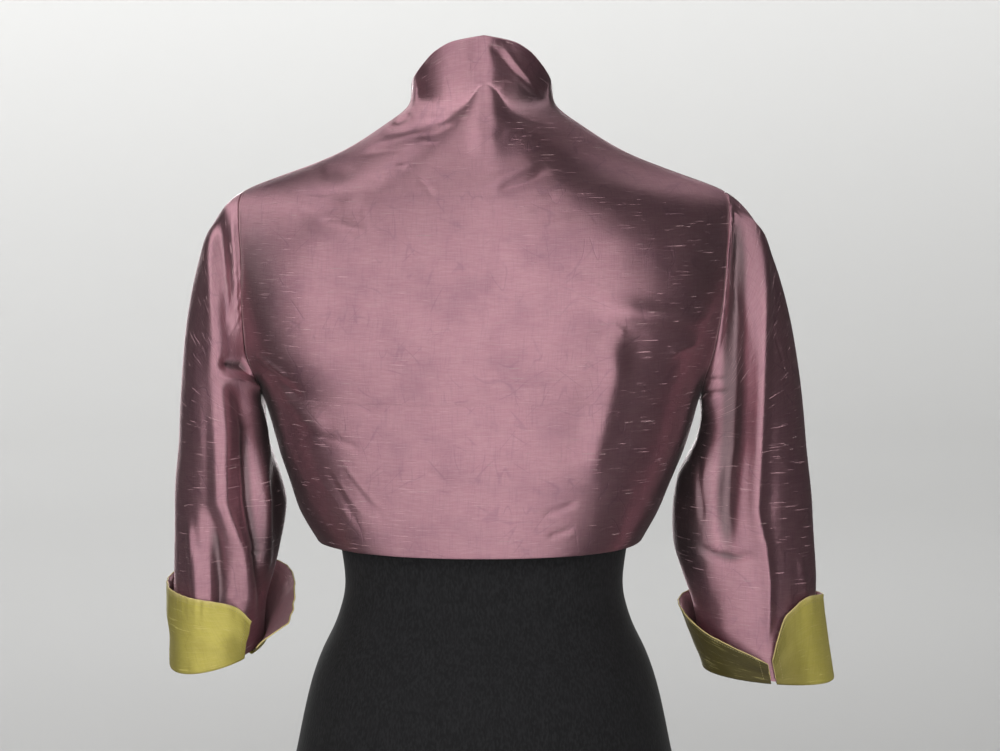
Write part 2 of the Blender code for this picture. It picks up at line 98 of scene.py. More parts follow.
bodyForm = {
    "names": ("leftWidth", "rightWidth", "backDepth", "frontDepth", "power"),
    "sections": (  # height, then the names above
        (0.297, 0.133, 0.126, 0.104, 0.112, 2.20),
        (0.322, 0.148, 0.140, 0.107, 0.114, 2.20),
        (0.346, 0.156, 0.150, 0.109, 0.117, 2.20),
        (0.370, 0.164, 0.160, 0.111, 0.121, 2.20),
        (0.395, 0.171, 0.168, 0.112, 0.125, 2.20),
        (0.417, 0.178, 0.174, 0.113, 0.128, 2.20),
        (0.455, 0.200, 0.193, 0.114, 0.122, 2.20),
        (0.500, 0.206, 0.204, 0.112, 0.108, 2.20),
        (0.540, 0.206, 0.206, 0.106, 0.091, 1.95),
        (0.565, 0.203, 0.203, 0.099, 0.080, 1.65),
        (0.577, 0.194, 0.194, 0.095, 0.074, 1.50),
        (0.583, 0.181, 0.180, 0.092, 0.0705, 1.48),
        (0.588, 0.166, 0.165, 0.089, 0.067, 1.46),
        (0.598, 0.138, 0.137, 0.083, 0.061, 1.48),
        (0.610, 0.110, 0.109, 0.075, 0.056, 1.55),
        (0.630, 0.079, 0.077, 0.063, 0.051, 1.75),
        (0.648, 0.0575, 0.0545, 0.055, 0.048, 2.00),
        (0.664, 0.0570, 0.0535, 0.052, 0.047, 2.00),
        (0.700, 0.0570, 0.0535, 0.050, 0.046, 2.00),
    ),
    "blur": 0.0045,
    "hem": 0.299,
    "underarm": 0.417,
    "shoulder": 0.577,
    "neck": 0.648,
    "seamGap": 0.0006,
    "armholeBack": 24.0,
    "armholeFront": 30.0,
    "armholeSquareness": 0.70,
    "collarEdge": ((0, 0.698), (25, 0.694), (42, 0.687), (58, 0.677), (75, 0.668), (90, 0.663)),
    "frontEdge": ((0.297, 0.088), (0.310, 0.070), (0.335, 0.055), (0.380, 0.042), (0.440, 0.034),
                  (0.520, 0.036), (0.580, 0.043), (0.620, 0.049), (0.648, 0.0505), (0.663, 0.0520)),
}


def formCurves(form):
    rows = np.array(form["sections"])
    return {n: easedCurve(rows[:, 0], rows[:, k + 1], form["blur"]) for k, n in enumerate(form["names"])}


bodyCurves = formCurves(bodyForm)
chest = np.array((0, 0, 0.45))  # a point inside the body panels
collarTop = smoothCurve(*zip(*bodyForm["collarEdge"]))
frontGap = smoothCurve(*zip(*bodyForm["frontEdge"]))


def sectionPoint(curves, turn, height):  # turn in degrees from the centre back, positive to the wearer's left
    turn, height = np.broadcast_arrays(np.asarray(turn, float), np.asarray(height, float))
    power = 2 / curves["power"](height)
    s, c = np.sin(np.radians(turn)), np.cos(np.radians(turn))
    width = np.where(turn > 0, curves["leftWidth"](height), curves["rightWidth"](height))
    depth = np.where(np.abs(turn) < 90, curves["backDepth"](height), curves["frontDepth"](height))
    x = width * np.sign(s) * np.abs(s) ** power
    y = depth * np.sign(c) * np.abs(c) ** power
    return np.stack((x, y, height), -1)


def seamTurn(height, depth):
    half = bodyForm["seamGap"] / 2 / bodyCurves[depth](height)
    return np.degrees(np.arccos(half ** (bodyCurves["power"](height) / 2)))


def armholeHeight(angle):  # angle 0 at the shoulder, 90 behind, 180 under the arm, 270 in front
    low, high = bodyForm["underarm"], bodyForm["shoulder"]
    return (low + high) / 2 + (high - low) / 2 * np.cos(np.radians(angle))


def armholeTurn(angle, panel):
    reach = np.abs(np.sin(np.radians(angle))) ** bodyForm["armholeSquareness"]
    seam = seamTurn(armholeHeight(angle), panel + "Depth")
    if panel == "back":
        return np.minimum(90 - bodyForm["armholeBack"] * reach, seam)
    return np.maximum(90 + bodyForm["armholeFront"] * reach, 180 - seam)


def bodyRows(waist, armhole, shoulder):  # heights from hem to neck, with the armhole angle where there is one
    low, under, top, neck = (bodyForm[n] for n in ("hem", "underarm", "shoulder", "neck"))
    share = np.linspace(0, 1, armhole)
    share = 0.55 * share + 0.45 * (1 - np.cos(math.pi * share)) / 2
    heights = [np.linspace(low, under, waist)[:-1], under + (top - under) * share,
               top + (neck - top) * np.linspace(0, 1, shoulder)[1:] ** 1.5]
    angles = np.full(sum(map(len, heights)), np.nan)
    cosine = np.clip((heights[1] - (under + top) / 2) / ((top - under) / 2), -1, 1)
    angles[len(heights[0]):len(heights[0]) + armhole] = np.degrees(np.arccos(cosine))
    return np.concatenate(heights), angles


# Cloth sheets as grids of points

def gridNormals(points, wraps=False, outwards=None):
    if wraps:
        across = np.roll(points, -1, 1) - np.roll(points, 1, 1)
    else:
        across = np.gradient(points, axis=1)
    along = np.gradient(points, axis=0)
    normals = unit(np.cross(across, along))
    if outwards is not None and np.sum(normals * (points - outwards)) < 0:
        normals = -normals
    return normals


def creaseLift(x, z, creases):  # listed troughs and ridges; each path tapers to nothing at its ends
    lift = np.zeros_like(x)
    for path, rise, half, sharp in creases:  # in millimetres
        path, rise, half = np.array(path, float) / 1000, rise / 1000, half / 1000
        runs = np.linalg.norm(np.diff(path, axis=0), axis=1)
        total = runs.sum()
        near = np.full(x.shape, 1e9)
        along = np.zeros_like(x)
        done = 0.0
        for a, b, run in zip(path, path[1:], runs):
            t = np.clip(((x - a[0]) * (b[0] - a[0]) + (z - a[1]) * (b[1] - a[1])) / run ** 2, 0, 1)
            off = np.hypot(x - a[0] - t * (b[0] - a[0]), z - a[1] - t * (b[1] - a[1]))
            closer = off < near
            near = np.where(closer, off, near)
            along = np.where(closer, (done + t * run) / total, along)
            done += run
        taper = softStep(along / 0.28) * softStep((1 - along) / 0.28)
        soft = np.exp(-1.5 * (near / half) ** 2)
        keen = np.exp(-1.9 * near / half)
        lift += rise * taper * ((1 - sharp) * soft + sharp * keen)
    return lift


def turnedRows(points, normals, radius, rows):  # rolls the edge at row 0 to the inside and back along it
    edge = unit(points[0] - points[1])
    radius = np.asarray(radius)[..., None]
    rolled = []
    for angle in np.radians((30, 60, 90, 120, 150, 180)):
        out, deep = radius * math.sin(angle), radius * (1 - math.cos(angle))
        rolled.append(points[0] + edge * out - normals[0] * deep)
    inside = [points[r] - normals[r] * radius * 2 for r in rows]
    return np.array((rolled + inside)[::-1])


def tuckedRows(points, normals, steps):  # a seam's edge in steps past it and below it
    edge = unit(points[0] - points[1])
    return np.array([points[0] + edge * out - normals[0] * deep for out, deep in steps][::-1])


overSeam = ((0.00016, 0.00010), (0.00024, 0.00030), (0.00020, 0.00055))
underSeam = ((0.00016, 0.00012), (0.00024, 0.00040), (0.00034, 0.0010), (0.0014, 0.0015), (0.0032, 0.0022))


def placeGrid(points, wraps=False):  # lengths across and along the cloth, in metres
    across = np.linalg.norm(np.diff(points, axis=1), axis=2)
    u = np.concatenate((np.zeros((len(points), 1)), np.cumsum(across, axis=1)), axis=1)
    u -= u[:, -1:] / 2 if not wraps else 0
    along = np.linalg.norm(np.diff(points, axis=0), axis=2).mean(axis=1)
    v = np.concatenate(((0.0,), np.cumsum(along)))
    return u, np.broadcast_to(v[:, None], u.shape)


# the region between arm and body that is painted with shade
armGap = {"reach": 0.168, "halfWidth": 0.020, "halfDepth": 0.042, "top": 0.58, "bottom": 0.25}


def paintedShade(points):  # painted shade: 1 between arm and body, where the cloth faces itself and shade falls
    gap = armGap
    x, y, z = np.abs(points[:, 0]), points[:, 1], points[:, 2]
    reach = np.sqrt(((x - gap["reach"]) / gap["halfWidth"]) ** 2 + (y / gap["halfDepth"]) ** 2)
    ends = softStep((gap["top"] - z) / 0.10) * softStep((z - gap["bottom"]) / 0.05)
    return (1 - softStep((reach - 0.6) / 0.7)) * ends


def sheetMesh(name, parts, finish):  # parts: points, wraps, outwards, wear and painted highlight, added painted shade, weave offset
    verts, faces, places, wearsAndHighlights, addedPaintedShades, acrosses = [], [], [], [], [], []
    count = 0
    for points, wraps, outwards, wearAndHighlight, addedPaintedShade, shift in parts:
        rows, columns = points.shape[:2]
        index = np.arange(rows * columns).reshape(rows, columns) + count
        right = np.roll(index, -1, 1) if wraps else index[:, 1:]
        left = index if wraps else index[:, :-1]
        quads = np.stack((left[:-1], right[:-1], right[1:], left[1:]), -1).reshape(-1, 4)
        middle = points[rows // 2, columns // 2]
        a, b = points[rows // 2, columns // 2 - 1] - middle, points[rows // 2 - 1, columns // 2] - middle
        if np.dot(np.cross(a, b), middle - outwards) < 0:
            quads = quads[:, ::-1]
        u, v = placeGrid(points, wraps)
        verts.append(points.reshape(-1, 3))
        faces.append(quads)
        places.append(np.stack((u + shift[0], v + shift[1], np.full_like(u, shift[2])), -1).reshape(-1, 3))
        wearsAndHighlights.append(np.broadcast_to(wearAndHighlight, (rows, columns)).reshape(-1))
        addedPaintedShades.append(np.broadcast_to(addedPaintedShade, (rows, columns)).reshape(-1))
        acrosses.append(unit(np.gradient(points, axis=1)).reshape(-1, 3))
        count += rows * columns
    mesh = bpy.data.meshes.new(name)
    mesh.from_pydata(np.concatenate(verts), [], np.concatenate(faces))
    # painted shade: the shade between arm and body plus each part's added painted shade, darkening the colour
    paintedShadeLevel = np.clip(paintedShade(np.concatenate(verts)) + np.concatenate(addedPaintedShades), 0, 1)
    for title, values in (("place", places), ("across", acrosses), ("wearAndHighlight", wearsAndHighlights), ("paintedShade", [paintedShadeLevel])):
        values = np.concatenate(values)
        kind, field = ("FLOAT_VECTOR", "vector") if values.ndim > 1 else ("FLOAT", "value")
        mesh.attributes.new(title, kind, "POINT").data.foreach_set(field, values.ravel())
    mesh.shade_smooth()
    mesh.materials.append(finish)
    piece = bpy.data.objects.new(name, mesh)
    scene.collection.objects.link(piece)
    print(name, "faces:", len(mesh.polygons))
    return piece


# Finishes

class Wire:  # a value in a node tree; expressions on it add Math nodes
    def __init__(self, finish, socket):
        self.finish = finish
        self.socket = socket

    def math(self, operation, *values):
        return self.finish.node("ShaderNodeMath", {"operation": operation}, dict(enumerate(values)))

    def __add__(self, other):
        return self.math("ADD", self, other)

    def __radd__(self, other):
        return self.math("ADD", other, self)

    def __sub__(self, other):
        return self.math("SUBTRACT", self, other)

    def __rsub__(self, other):
        return self.math("SUBTRACT", other, self)

    def __mul__(self, other):
        return self.math("MULTIPLY", self, other)

    def __rmul__(self, other):
        return self.math("MULTIPLY", other, self)

    def between(self, low, high):  # 0 below low, 1 above high, smooth between
        sockets = {"Value": self, "From Min": low, "From Max": high}
        return self.finish.node("ShaderNodeMapRange", {"interpolation_type": "SMOOTHSTEP"}, sockets)


class Nodes:  # a node tree that is written in expressions
    def __init__(self, tree):
        self.tree = tree

    def node(self, kind, settings=None, sockets=None, out=0):
        made = self.tree.nodes.new(kind)
        for title, value in (settings or {}).items():
            setattr(made, title, value)
        for title, value in (sockets or {}).items():
            if isinstance(value, Wire):
                self.tree.links.new(value.socket, made.inputs[title])
            else:
                made.inputs[title].default_value = value
        return Wire(self, made.outputs[out])


class Finish(Nodes):  # one material and its nodes
    def __init__(self, name, **constants):
        self.material = bpy.data.materials.new(name)
        self.material.use_nodes = True
        super().__init__(self.material.node_tree)
        self.shader = self.tree.nodes["Principled BSDF"]
        for title, value in constants.items():
            self.shader.inputs[title.replace("_", " ")].default_value = value

    def attribute(self, name, out):  # out 1 is a vector, 2 a number
        return self.node("ShaderNodeAttribute", {"attribute_name": name}, out=out)

    def stretched(self, place, scale):
        return self.node("ShaderNodeVectorMath", {"operation": "MULTIPLY"}, {0: place, 1: scale})

    def noise(self, place, scale, detail=2.0, roughness=0.5, distortion=0.0):
        sockets = {"Vector": self.stretched(place, scale), "Scale": 1.0, "Detail": detail,
                   "Roughness": roughness, "Distortion": distortion}
        return self.node("ShaderNodeTexNoise", None, sockets)

    def mix(self, factor, a, b):
        return self.node("ShaderNodeMix", {"data_type": "RGBA"}, {0: factor, 6: a, 7: b}, 2)

    def bump(self, height, distance, strength):
        sockets = {"Height": height, "Distance": distance, "Strength": strength}
        return self.node("ShaderNodeBump", None, sockets)

    def feed(self, title, wire):
        self.tree.links.new(wire.socket, self.shader.inputs[title])


silkLook = {
    "rose": {
        "colour": (0.510, 0.270, 0.318, 1), "pale": (0.630, 0.395, 0.425, 1),
        # deep is the colour that painted shade darkens towards; worn is the pale colour of real wear and of
        # painted highlight
        "shade": (0.290, 0.150, 0.215, 1), "wornAndLit": (0.700, 0.470, 0.480, 1), "deep": (0.100, 0.104, 0.098, 1),
        # the last value sets how far painted shade goes towards deep
        "metal": 0.90, "rough": 0.52, "crease": 1.0, "paintedShadeLevel": 0.75,
    },
    "chartreuse": {
        "colour": (0.500, 0.432, 0.095, 1), "pale": (0.580, 0.500, 0.160, 1),
        "shade": (0.260, 0.205, 0.055, 1), "wornAndLit": (0.610, 0.480, 0.270, 1), "deep": (0.040, 0.031, 0.015, 1),
        # the last value sets how far painted shade goes towards deep
        "metal": 0.38, "rough": 0.54, "crease": 0.4, "paintedShadeLevel": 0.92,
    },
    "weave": {  # bumps to a metre across and along the cloth
        "weft": (110, 1150, 5), "warp": (1150, 70, 5), "slub": (42, 760, 9), "mottle": (26, 30, 1),
        "hairlines": ((0.6, (14, 44, 2)), (-0.8, (12, 52, 6)), (1.5, (16, 60, 9))),  # turn and scale
        "patches": (38, 34), "depth": 0.0006, "strength": 0.55,
    },
}


def silkFinish(name, look):
    silk = Finish(name, Anisotropic=0.92, Anisotropic_Rotation=0.25, Sheen_Weight=0.06, Sheen_Roughness=0.4,
                  Sheen_Tint=(1.0, 0.86, 0.86, 1), Specular_IOR_Level=0.3)
    place = silk.attribute("place", 1)
    wearAndHighlight = silk.attribute("wearAndHighlight", 2)
    paintedShadeMask = silk.attribute("paintedShade", 2)
    weave = silkLook["weave"]
    weft = silk.noise(place, weave["weft"], 3.0, 0.65)
    warp = silk.noise(place, weave["warp"], 3.0, 0.6)
    slub = silk.noise(place, weave["slub"], 3.0, 0.6).between(0.63, 0.71)
    mottle = silk.noise(place, weave["mottle"], 4.0, 0.6)
    lines = [hairline(silk, place, turn, scale) for turn, scale in weave["hairlines"]]
    line = lines[0].math("MINIMUM", lines[0] + lines[1] + lines[2], 1.0) * look["crease"]
    colour = silk.mix(weft.between(0.35, 0.70) * 0.45, look["colour"], look["pale"])
    colour = silk.mix(warp.between(0.45, 0.75) * 0.20, colour, look["shade"])
    colour = silk.mix(mottle.between(0.42, 0.75) * 0.25, colour, look["shade"])
    # painted shade: the hairline creases are darkened in colour as well as bumped
    colour = silk.mix(line * 0.26, colour, look["shade"])
    # painted shade: darker towards deep where the painted shade mask is set
    colour = silk.mix(paintedShadeMask * look["paintedShadeLevel"], colour, look["deep"])
    colour = silk.mix(slub * 0.5, colour, look["pale"])
    # paler: real wear at the cuff edges, and a painted highlight on the ridge beside the back's seams
    colour = silk.mix(wearAndHighlight * 0.8, colour, look["wornAndLit"])
    silk.feed("Base Color", colour)
    silk.feed("Roughness", look["rough"] + 0.10 * (mottle - 0.5) + 0.06 * (weft - 0.5) + 0.2 * wearAndHighlight)
    silk.feed("Metallic", look["metal"] - 0.55 * slub - 0.5 * wearAndHighlight)
    height = weft * 0.42 + warp * 0.22 + slub * 0.9 - line * 0.16 + mottle * 0.8
    silk.feed("Normal", silk.bump(height, weave["depth"], weave["strength"]))
    return silk.material


def hairline(silk, place, turn, scale):  # short thin creases along the level lines of a drawn-out noise
    turned = silk.node("ShaderNodeMapping", None, {"Vector": place, "Rotation": (0, 0, turn)})
    level = silk.noise(turned, scale, 1.0, 0.5, 0.1) - 0.5
    patch = silk.noise(place, (*silkLook["weave"]["patches"], scale[2]), 1.0).between(0.50, 0.64)
    return (1 - level.math("ABSOLUTE", level).between(0.0, 0.018)) * patch


def jerseyFinish():
    jersey = Finish("form jersey", Sheen_Weight=0.08, Sheen_Roughness=0.45, Metallic=0.0,
                    Specular_IOR_Level=0.25)
    place = jersey.node("ShaderNodeTexCoord", None, None, 3)
    wales = jersey.noise(place, (620, 620, 260), 1.5)
    pile = jersey.noise(place, (60, 60, 60), 3.0)
    tone = jersey.mix(wales.between(0.35, 0.7), (0.004, 0.004, 0.0045, 1), (0.010, 0.010, 0.011, 1))
    jersey.feed("Base Color", jersey.mix(pile.between(0.4, 0.8) * 0.3, tone, (0.014, 0.0135, 0.015, 1)))
    jersey.feed("Roughness", 0.78 + 0.16 * pile)
    jersey.feed("Normal", jersey.bump(wales + pile * 0.4, 0.0005, 0.5))
    return jersey.material


def threadFinish(name, dark, light):
    thread = Finish(name, Sheen_Weight=0.2, Specular_IOR_Level=0.4, Metallic=0.2)
    place = thread.node("ShaderNodeTexCoord", None, None, 3)
    twist = thread.noise(place, (900, 900, 900), 1.0)
    thread.feed("Base Color", thread.mix(twist, dark, light))
    thread.feed("Roughness", 0.45 + 0.2 * twist)
    return thread.material


roseSilk = silkFinish("rose silk", silkLook["rose"])
chartreuseSilk = silkFinish("chartreuse silk", silkLook["chartreuse"])
formJersey = jerseyFinish()
roseThread = threadFinish("rose thread", (0.36, 0.22, 0.24, 1), (0.52, 0.36, 0.36, 1))
oliveThread = threadFinish("olive thread", (0.30, 0.25, 0.08, 1), (0.42, 0.36, 0.16, 1))
print("finishes made")


# Back panel with its collar

backPanel = {
    "columns": 261,
    "waistRows": 56, "armholeRows": 92, "shoulderRows": 66, "collarRows": 34,
    "hemRadius": 0.0010, "collarRadius": 0.0011, "seamFade": 0.020, "crinkle": 0.00022,
    "ridge": 0.0007, "ridgeInset": 0.0012, "ridgeHalf": 0.0011,  # where the cloth stands up beside a seam
    "creases": (  # path in the back view (x, z), rise and half width in millimetres, then sharpness
        (((84, 622), (56, 628), (15, 635)), -1.8, 6, 0.2),
        (((93, 613), (65, 620), (37, 626)), 1.1, 5, 0.2),
        (((74, 632), (66, 635), (56, 639)), -2.2, 4, 0.3),
        (((102, 605), (79, 610), (56, 612)), -0.7, 3.2, 0.3),
        (((52, 619), (33, 617)), -0.8, 2.2, 0.6),
        (((70, 599), (59, 599)), -0.8, 2.2, 0.6),
        (((130, 592), (118, 594), (100, 593)), -1, 8, 0),
        (((160, 577), (119, 571), (88, 565)), -1.5, 10, 0),
        (((129, 557), (110, 555), (89, 548)), 1.3, 3.5, 0.5),
        (((92, 568), (91, 553), (84, 542)), -0.5, 1.8, 0.7),
        (((82, 556), (73, 545)), -0.4, 1.8, 0.7),
        (((112, 553), (98, 543), (100, 526)), 0.8, 3, 0.4),
        (((52, 592), (44, 583), (37, 573)), -0.7, 2.2, 0.6),
        (((21, 576), (12, 561)), -0.6, 2, 0.6),
        (((-4, 611), (-9, 551), (-4, 498), (-2, 438), (2, 329)), -0.6, 2.6, 0.5),
        (((2, 697), (-10, 685), (-25, 670), (-48, 652)), -1.5, 5.2, 0.2),
        (((-12, 694), (-24, 678), (-34, 667), (-47, 650)), 1, 2.8, 0.2),
        (((7, 665), (-4, 662), (-16, 660)), -0.5, 6, 0),
        (((6, 634), (-5, 626), (-18, 618)), -0.8, 8, 0),
        (((1, 735), (-1, 680), (-2, 640), (-5, 585)), 5.2, 15, 0),
        (((3, 583), (-19, 592), (-48, 604)), 2.2, 6, 0.2),
        (((-6, 579), (-34, 587), (-54, 597)), -1.8, 5, 0.2),
        (((-30, 545), (-71, 562)), 0.8, 4.5, 0.3),
        (((-33, 564), (-58, 577)), -0.8, 4, 0.3),
        (((184, 454), (168, 446), (148, 432)), 1.8, 2.8, 0.7),
        (((184, 446), (160, 432), (138, 418)), -2.4, 6, 0.2),
        (((165, 424), (140, 405), (118, 392)), 1.9, 12, 0),
        (((146, 394), (111, 388), (88, 380)), -0.6, 3.2, 0.4),
        (((127, 372), (108, 341), (92, 312)), -0.3, 2.6, 0.4),
        (((118, 362), (103, 342), (90, 326)), 0.3, 3, 0.3),
        (((131, 360), (113, 337), (101, 322)), 0.3, 2.8, 0.3),
        (((104, 362), (92, 343), (83, 322)), -0.2, 2.8, 0.3),
        (((138, 345), (122, 325), (113, 304)), -0.4, 3, 0.3),
        (((112, 375), (95, 352), (72, 330)), 0.4, 2.2, 0.4),
        (((98, 350), (84, 336), (66, 312)), -0.2, 2.6, 0.3),
        (((140, 365), (128, 345), (120, 330)), -0.3, 2.8, 0.3),
        (((50, 371), (36, 363), (20, 354)), -0.6, 2, 0.6),
        (((93, 416), (81, 406)), -0.6, 2, 0.6),
        (((-90, 484), (-100, 478), (-110, 470)), 1.2, 1.8, 0.7),
        (((-82, 492), (-130, 485), (-190, 480)), 4.2, 11, 0),
        (((-90, 462), (-130, 450), (-195, 438)), -3.6, 16, 0),
        (((-106, 482), (-102, 450), (-92, 405), (-78, 350)), 2.4, 13.5, 0),
        (((-140, 452), (-154, 457), (-172, 462)), 1.4, 5, 0.2),
        (((-42, 331), (-58, 336), (-73, 341)), -1, 2.6, 0.5),
        (((-47, 314), (-70, 321)), -1, 2.6, 0.5),
        (((-78, 426), (-84, 412), (-89, 399)), -0.4, 2, 0.6),
        (((-66, 385), (-76, 365)), 0.4, 2, 0.6),
    ),
}


def edgeDistance(points):  # metres from each point to either side edge of its row
    step = np.linalg.norm(np.diff(points, axis=1), axis=2)
    zero = np.zeros((len(points), 1))
    left = np.concatenate((zero, np.cumsum(step, 1)), 1)
    right = np.concatenate((np.cumsum(step[:, ::-1], 1)[:, ::-1], zero), 1)
    return left, right


def besideSeam(distance, inset, half):  # 1 on a line along the seam
    return np.exp(-((distance - inset) / half) ** 2)


def seamRidge(distance):
    return backPanel["ridge"] * besideSeam(distance, backPanel["ridgeInset"], backPanel["ridgeHalf"])


def seamHighlight(points):  # a pale line painted on the ridge beside a seam: painted highlight
    left, right = edgeDistance(points)
    near = besideSeam(left, 0.0016, 0.0010) + besideSeam(right, 0.0016, 0.0010)
    return near * (0.55 + 0.35 * ripple(points[..., 2] * 120 + 9, points[..., 0] * 0 + 3.5, 77))


def sidePaintedShade(points):  # painted shade on the body's sides, which the sleeves cover
    width = bodyCurves["leftWidth"](points[..., 2])
    side = softStep((np.abs(points[..., 0]) / width - 0.70) / 0.20)
    return 0.65 * side * softStep((0.575 - points[..., 2]) / 0.06)


def collarPaintedShade(points):  # painted shade in the hollow at the collar's foot, deepest on the wearer's right
    x, z = points[..., 0], points[..., 2]
    return 0.6 * softStep((-x - 0.008) / 0.025) * np.exp(-((z - 0.652) / 0.018) ** 2)


def crinkled(points, normals, seed, amount):  # small unevenness all over
    u, v = placeGrid(points)
    lift = ripple(u * 32 + 9, v * 30 + 9, seed) + 0.5 * ripple(u * 75 + 9, v * 70 + 9, seed + 1)
    return points + normals * (lift * amount)[..., None]


def roundedCentre(depth, share):  # eases the ridge that the sections have at the centre back
    weights = np.exp(-0.5 * (np.arange(-36, 37) / 12.0) ** 2)
    weights /= weights.sum()
    padded = np.pad(depth, ((0, 0), (36, 36)), mode="edge")
    eased = sum(w * padded[:, k:k + depth.shape[1]] for k, w in enumerate(weights))
    blend = softStep((0.5 - np.abs(share)) / 0.3)
    return depth * (1 - blend) + eased * blend


def makeBack():
    form = backPanel
    heights, angles = bodyRows(form["waistRows"], form["armholeRows"], form["shoulderRows"])
    edges = np.where(np.isnan(angles), seamTurn(heights, "backDepth"),
                     armholeTurn(np.nan_to_num(angles, nan=90.0), "back"))
    share = np.linspace(1, -1, form["columns"])
    turns = edges[:, None] * share
    levels = np.broadcast_to(heights[:, None], turns.shape)
    neck = bodyForm["neck"]
    collarTurns = np.broadcast_to(seamTurn(neck, "backDepth") * share, (form["collarRows"], len(share)))
    rise = np.linspace(0, 1, form["collarRows"] + 1)[1:, None]
    collarLevels = neck + rise * (collarTop(np.abs(collarTurns)) - neck)
    turns, levels = np.concatenate((turns, collarTurns)), np.concatenate((levels, collarLevels))
    points = sectionPoint(bodyCurves, turns, levels)
    points[..., 1] = roundedCentre(points[..., 1], share)
    normals = gridNormals(points, outwards=chest)
    left, right = edgeDistance(points)
    fade = softStep(left / form["seamFade"]) * softStep(right / form["seamFade"])
    lift = creaseLift(points[..., 0], points[..., 2], form["creases"]) * fade
    points = points + normals * lift[..., None]
    points = crinkled(points, normals, 11, form["crinkle"])
    normals = gridNormals(points, outwards=chest)
    ridge = seamRidge(left) + seamRidge(right)
    ridge *= np.where(points[..., 2] > bodyForm["shoulder"], 0.15, 1.0)  # flatter on the shoulder seam
    points = points + normals * ridge[..., None]
    hem = turnedRows(points, normals, form["hemRadius"], range(1, 11))
    collar = turnedRows(points[::-1], normals[::-1], form["collarRadius"], range(1, 5))[::-1]
    points = np.concatenate((hem, points, collar))
    normals = gridNormals(points, outwards=chest)
    across, turned = points.transpose(1, 0, 2), normals.transpose(1, 0, 2)
    sides = tuckedRows(across, turned, overSeam), tuckedRows(across[::-1], turned[::-1], overSeam)[::-1]
    points = np.concatenate((sides[0], across, sides[1])).transpose(1, 0, 2)
    # painted shade on the sides and at the collar's foot
    addedPaintedShade = sidePaintedShade(points) + collarPaintedShade(points)
    parts = [(points, False, chest, seamHighlight(points), addedPaintedShade, (3.0, 1.0, 0.1))]
    return sheetMesh("back_cloth", parts, roseSilk)


back = makeBack()

# Open fronts, plain as the photograph hides them

frontPanel = {
    "columns": 96, "collarRows": 8, "edgeRadius": 0.0010, "hemRadius": 0.0010,
    "seamFade": 0.018, "edgeFade": 0.012, "crinkle": 0.00022,
    "creases": {  # as on the back
        "left": (
            (((186, 448), (160, 432), (120, 420)), -2.6, 7.5, 0.1),
            (((180, 470), (150, 462), (118, 462)), 2, 7, 0.1),
            (((150, 580), (112, 560), (90, 530)), -1.8, 6, 0.2),
            (((100, 606), (86, 580), (78, 548)), 1.6, 6, 0.1),
            (((130, 372), (106, 346), (94, 318)), -1.2, 3.2, 0.4),
            (((118, 366), (94, 346), (82, 330)), 1, 3, 0.4),
            (((60, 470), (74, 440), (80, 405)), -0.8, 2.8, 0.5),
        ),
        "right": (
            (((-184, 446), (-152, 436), (-110, 430)), -2.4, 8, 0.1),
            (((-178, 472), (-140, 470), (-108, 478)), 1.8, 7, 0.1),
            (((-146, 582), (-110, 566), (-84, 536)), -1.6, 6, 0.2),
            (((-96, 608), (-80, 584), (-72, 556)), 1.4, 5.5, 0.1),
            (((-126, 362), (-112, 338), (-104, 314)), -0.7, 2.6, 0.5),
            (((-62, 500), (-70, 470), (-66, 436)), 0.8, 3, 0.5),
        ),
    },
}


def makeFront(side, word, seed):
    form = frontPanel
    heights, angles = bodyRows(backPanel["waistRows"], backPanel["armholeRows"], backPanel["shoulderRows"])
    neck, end = bodyForm["neck"], bodyForm["collarEdge"][-1][1]
    heights = np.concatenate((heights, np.linspace(neck, end, form["collarRows"] + 1)[1:]))
    angles = np.concatenate((angles, np.full(form["collarRows"], np.nan)))
    starts = np.where(np.isnan(angles), 180 - seamTurn(heights, "frontDepth"),
                      armholeTurn(360 - np.nan_to_num(angles, nan=90.0), "front"))
    width = bodyCurves["leftWidth" if side > 0 else "rightWidth"](heights)
    power = bodyCurves["power"](heights)
    ends = 180 - np.degrees(np.arcsin((frontGap(heights) / width) ** (power / 2)))
    share = np.linspace(0, 1, form["columns"])
    turns = side * (starts[:, None] + (ends - starts)[:, None] * share)
    points = sectionPoint(bodyCurves, turns, heights[:, None])
    normals = gridNormals(points, outwards=chest)
    left, right = edgeDistance(points)
    fade = softStep(left / form["seamFade"]) * softStep(right / form["edgeFade"])
    lift = creaseLift(points[..., 0], points[..., 2], form["creases"][word]) * fade
    points = crinkled(points + normals * lift[..., None], normals, seed, form["crinkle"])
    normals = gridNormals(points, outwards=chest)
    points = points + normals * seamRidge(left)[..., None]
    across, turned = points.transpose(1, 0, 2)[::-1], normals.transpose(1, 0, 2)[::-1]
    opening = turnedRows(across, turned, form["edgeRadius"], range(1, 8))
    seam = tuckedRows(across[::-1], turned[::-1], overSeam)
    points = np.concatenate((seam, across[::-1], opening[::-1])).transpose(1, 0, 2)
    normals = gridNormals(points, outwards=chest)
    corner = softStep((np.arange(points.shape[1])[::-1] - len(opening) - 2) / 10.0)
    hem = turnedRows(points, normals, 0.00012 + form["hemRadius"] * corner, range(1, 9))
    points = np.concatenate((hem, points))
    # painted shade on the sides under the sleeves
    parts = [(points, False, chest, 0.0, sidePaintedShade(points), (5.0 * side, 2.0, 0.2))]
    return sheetMesh("front_" + word + "_cloth", parts, roseSilk)


frontLeft = makeFront(1, "left", 21)
frontRight = makeFront(-1, "right", 31)

# Sleeves, set in at the armholes

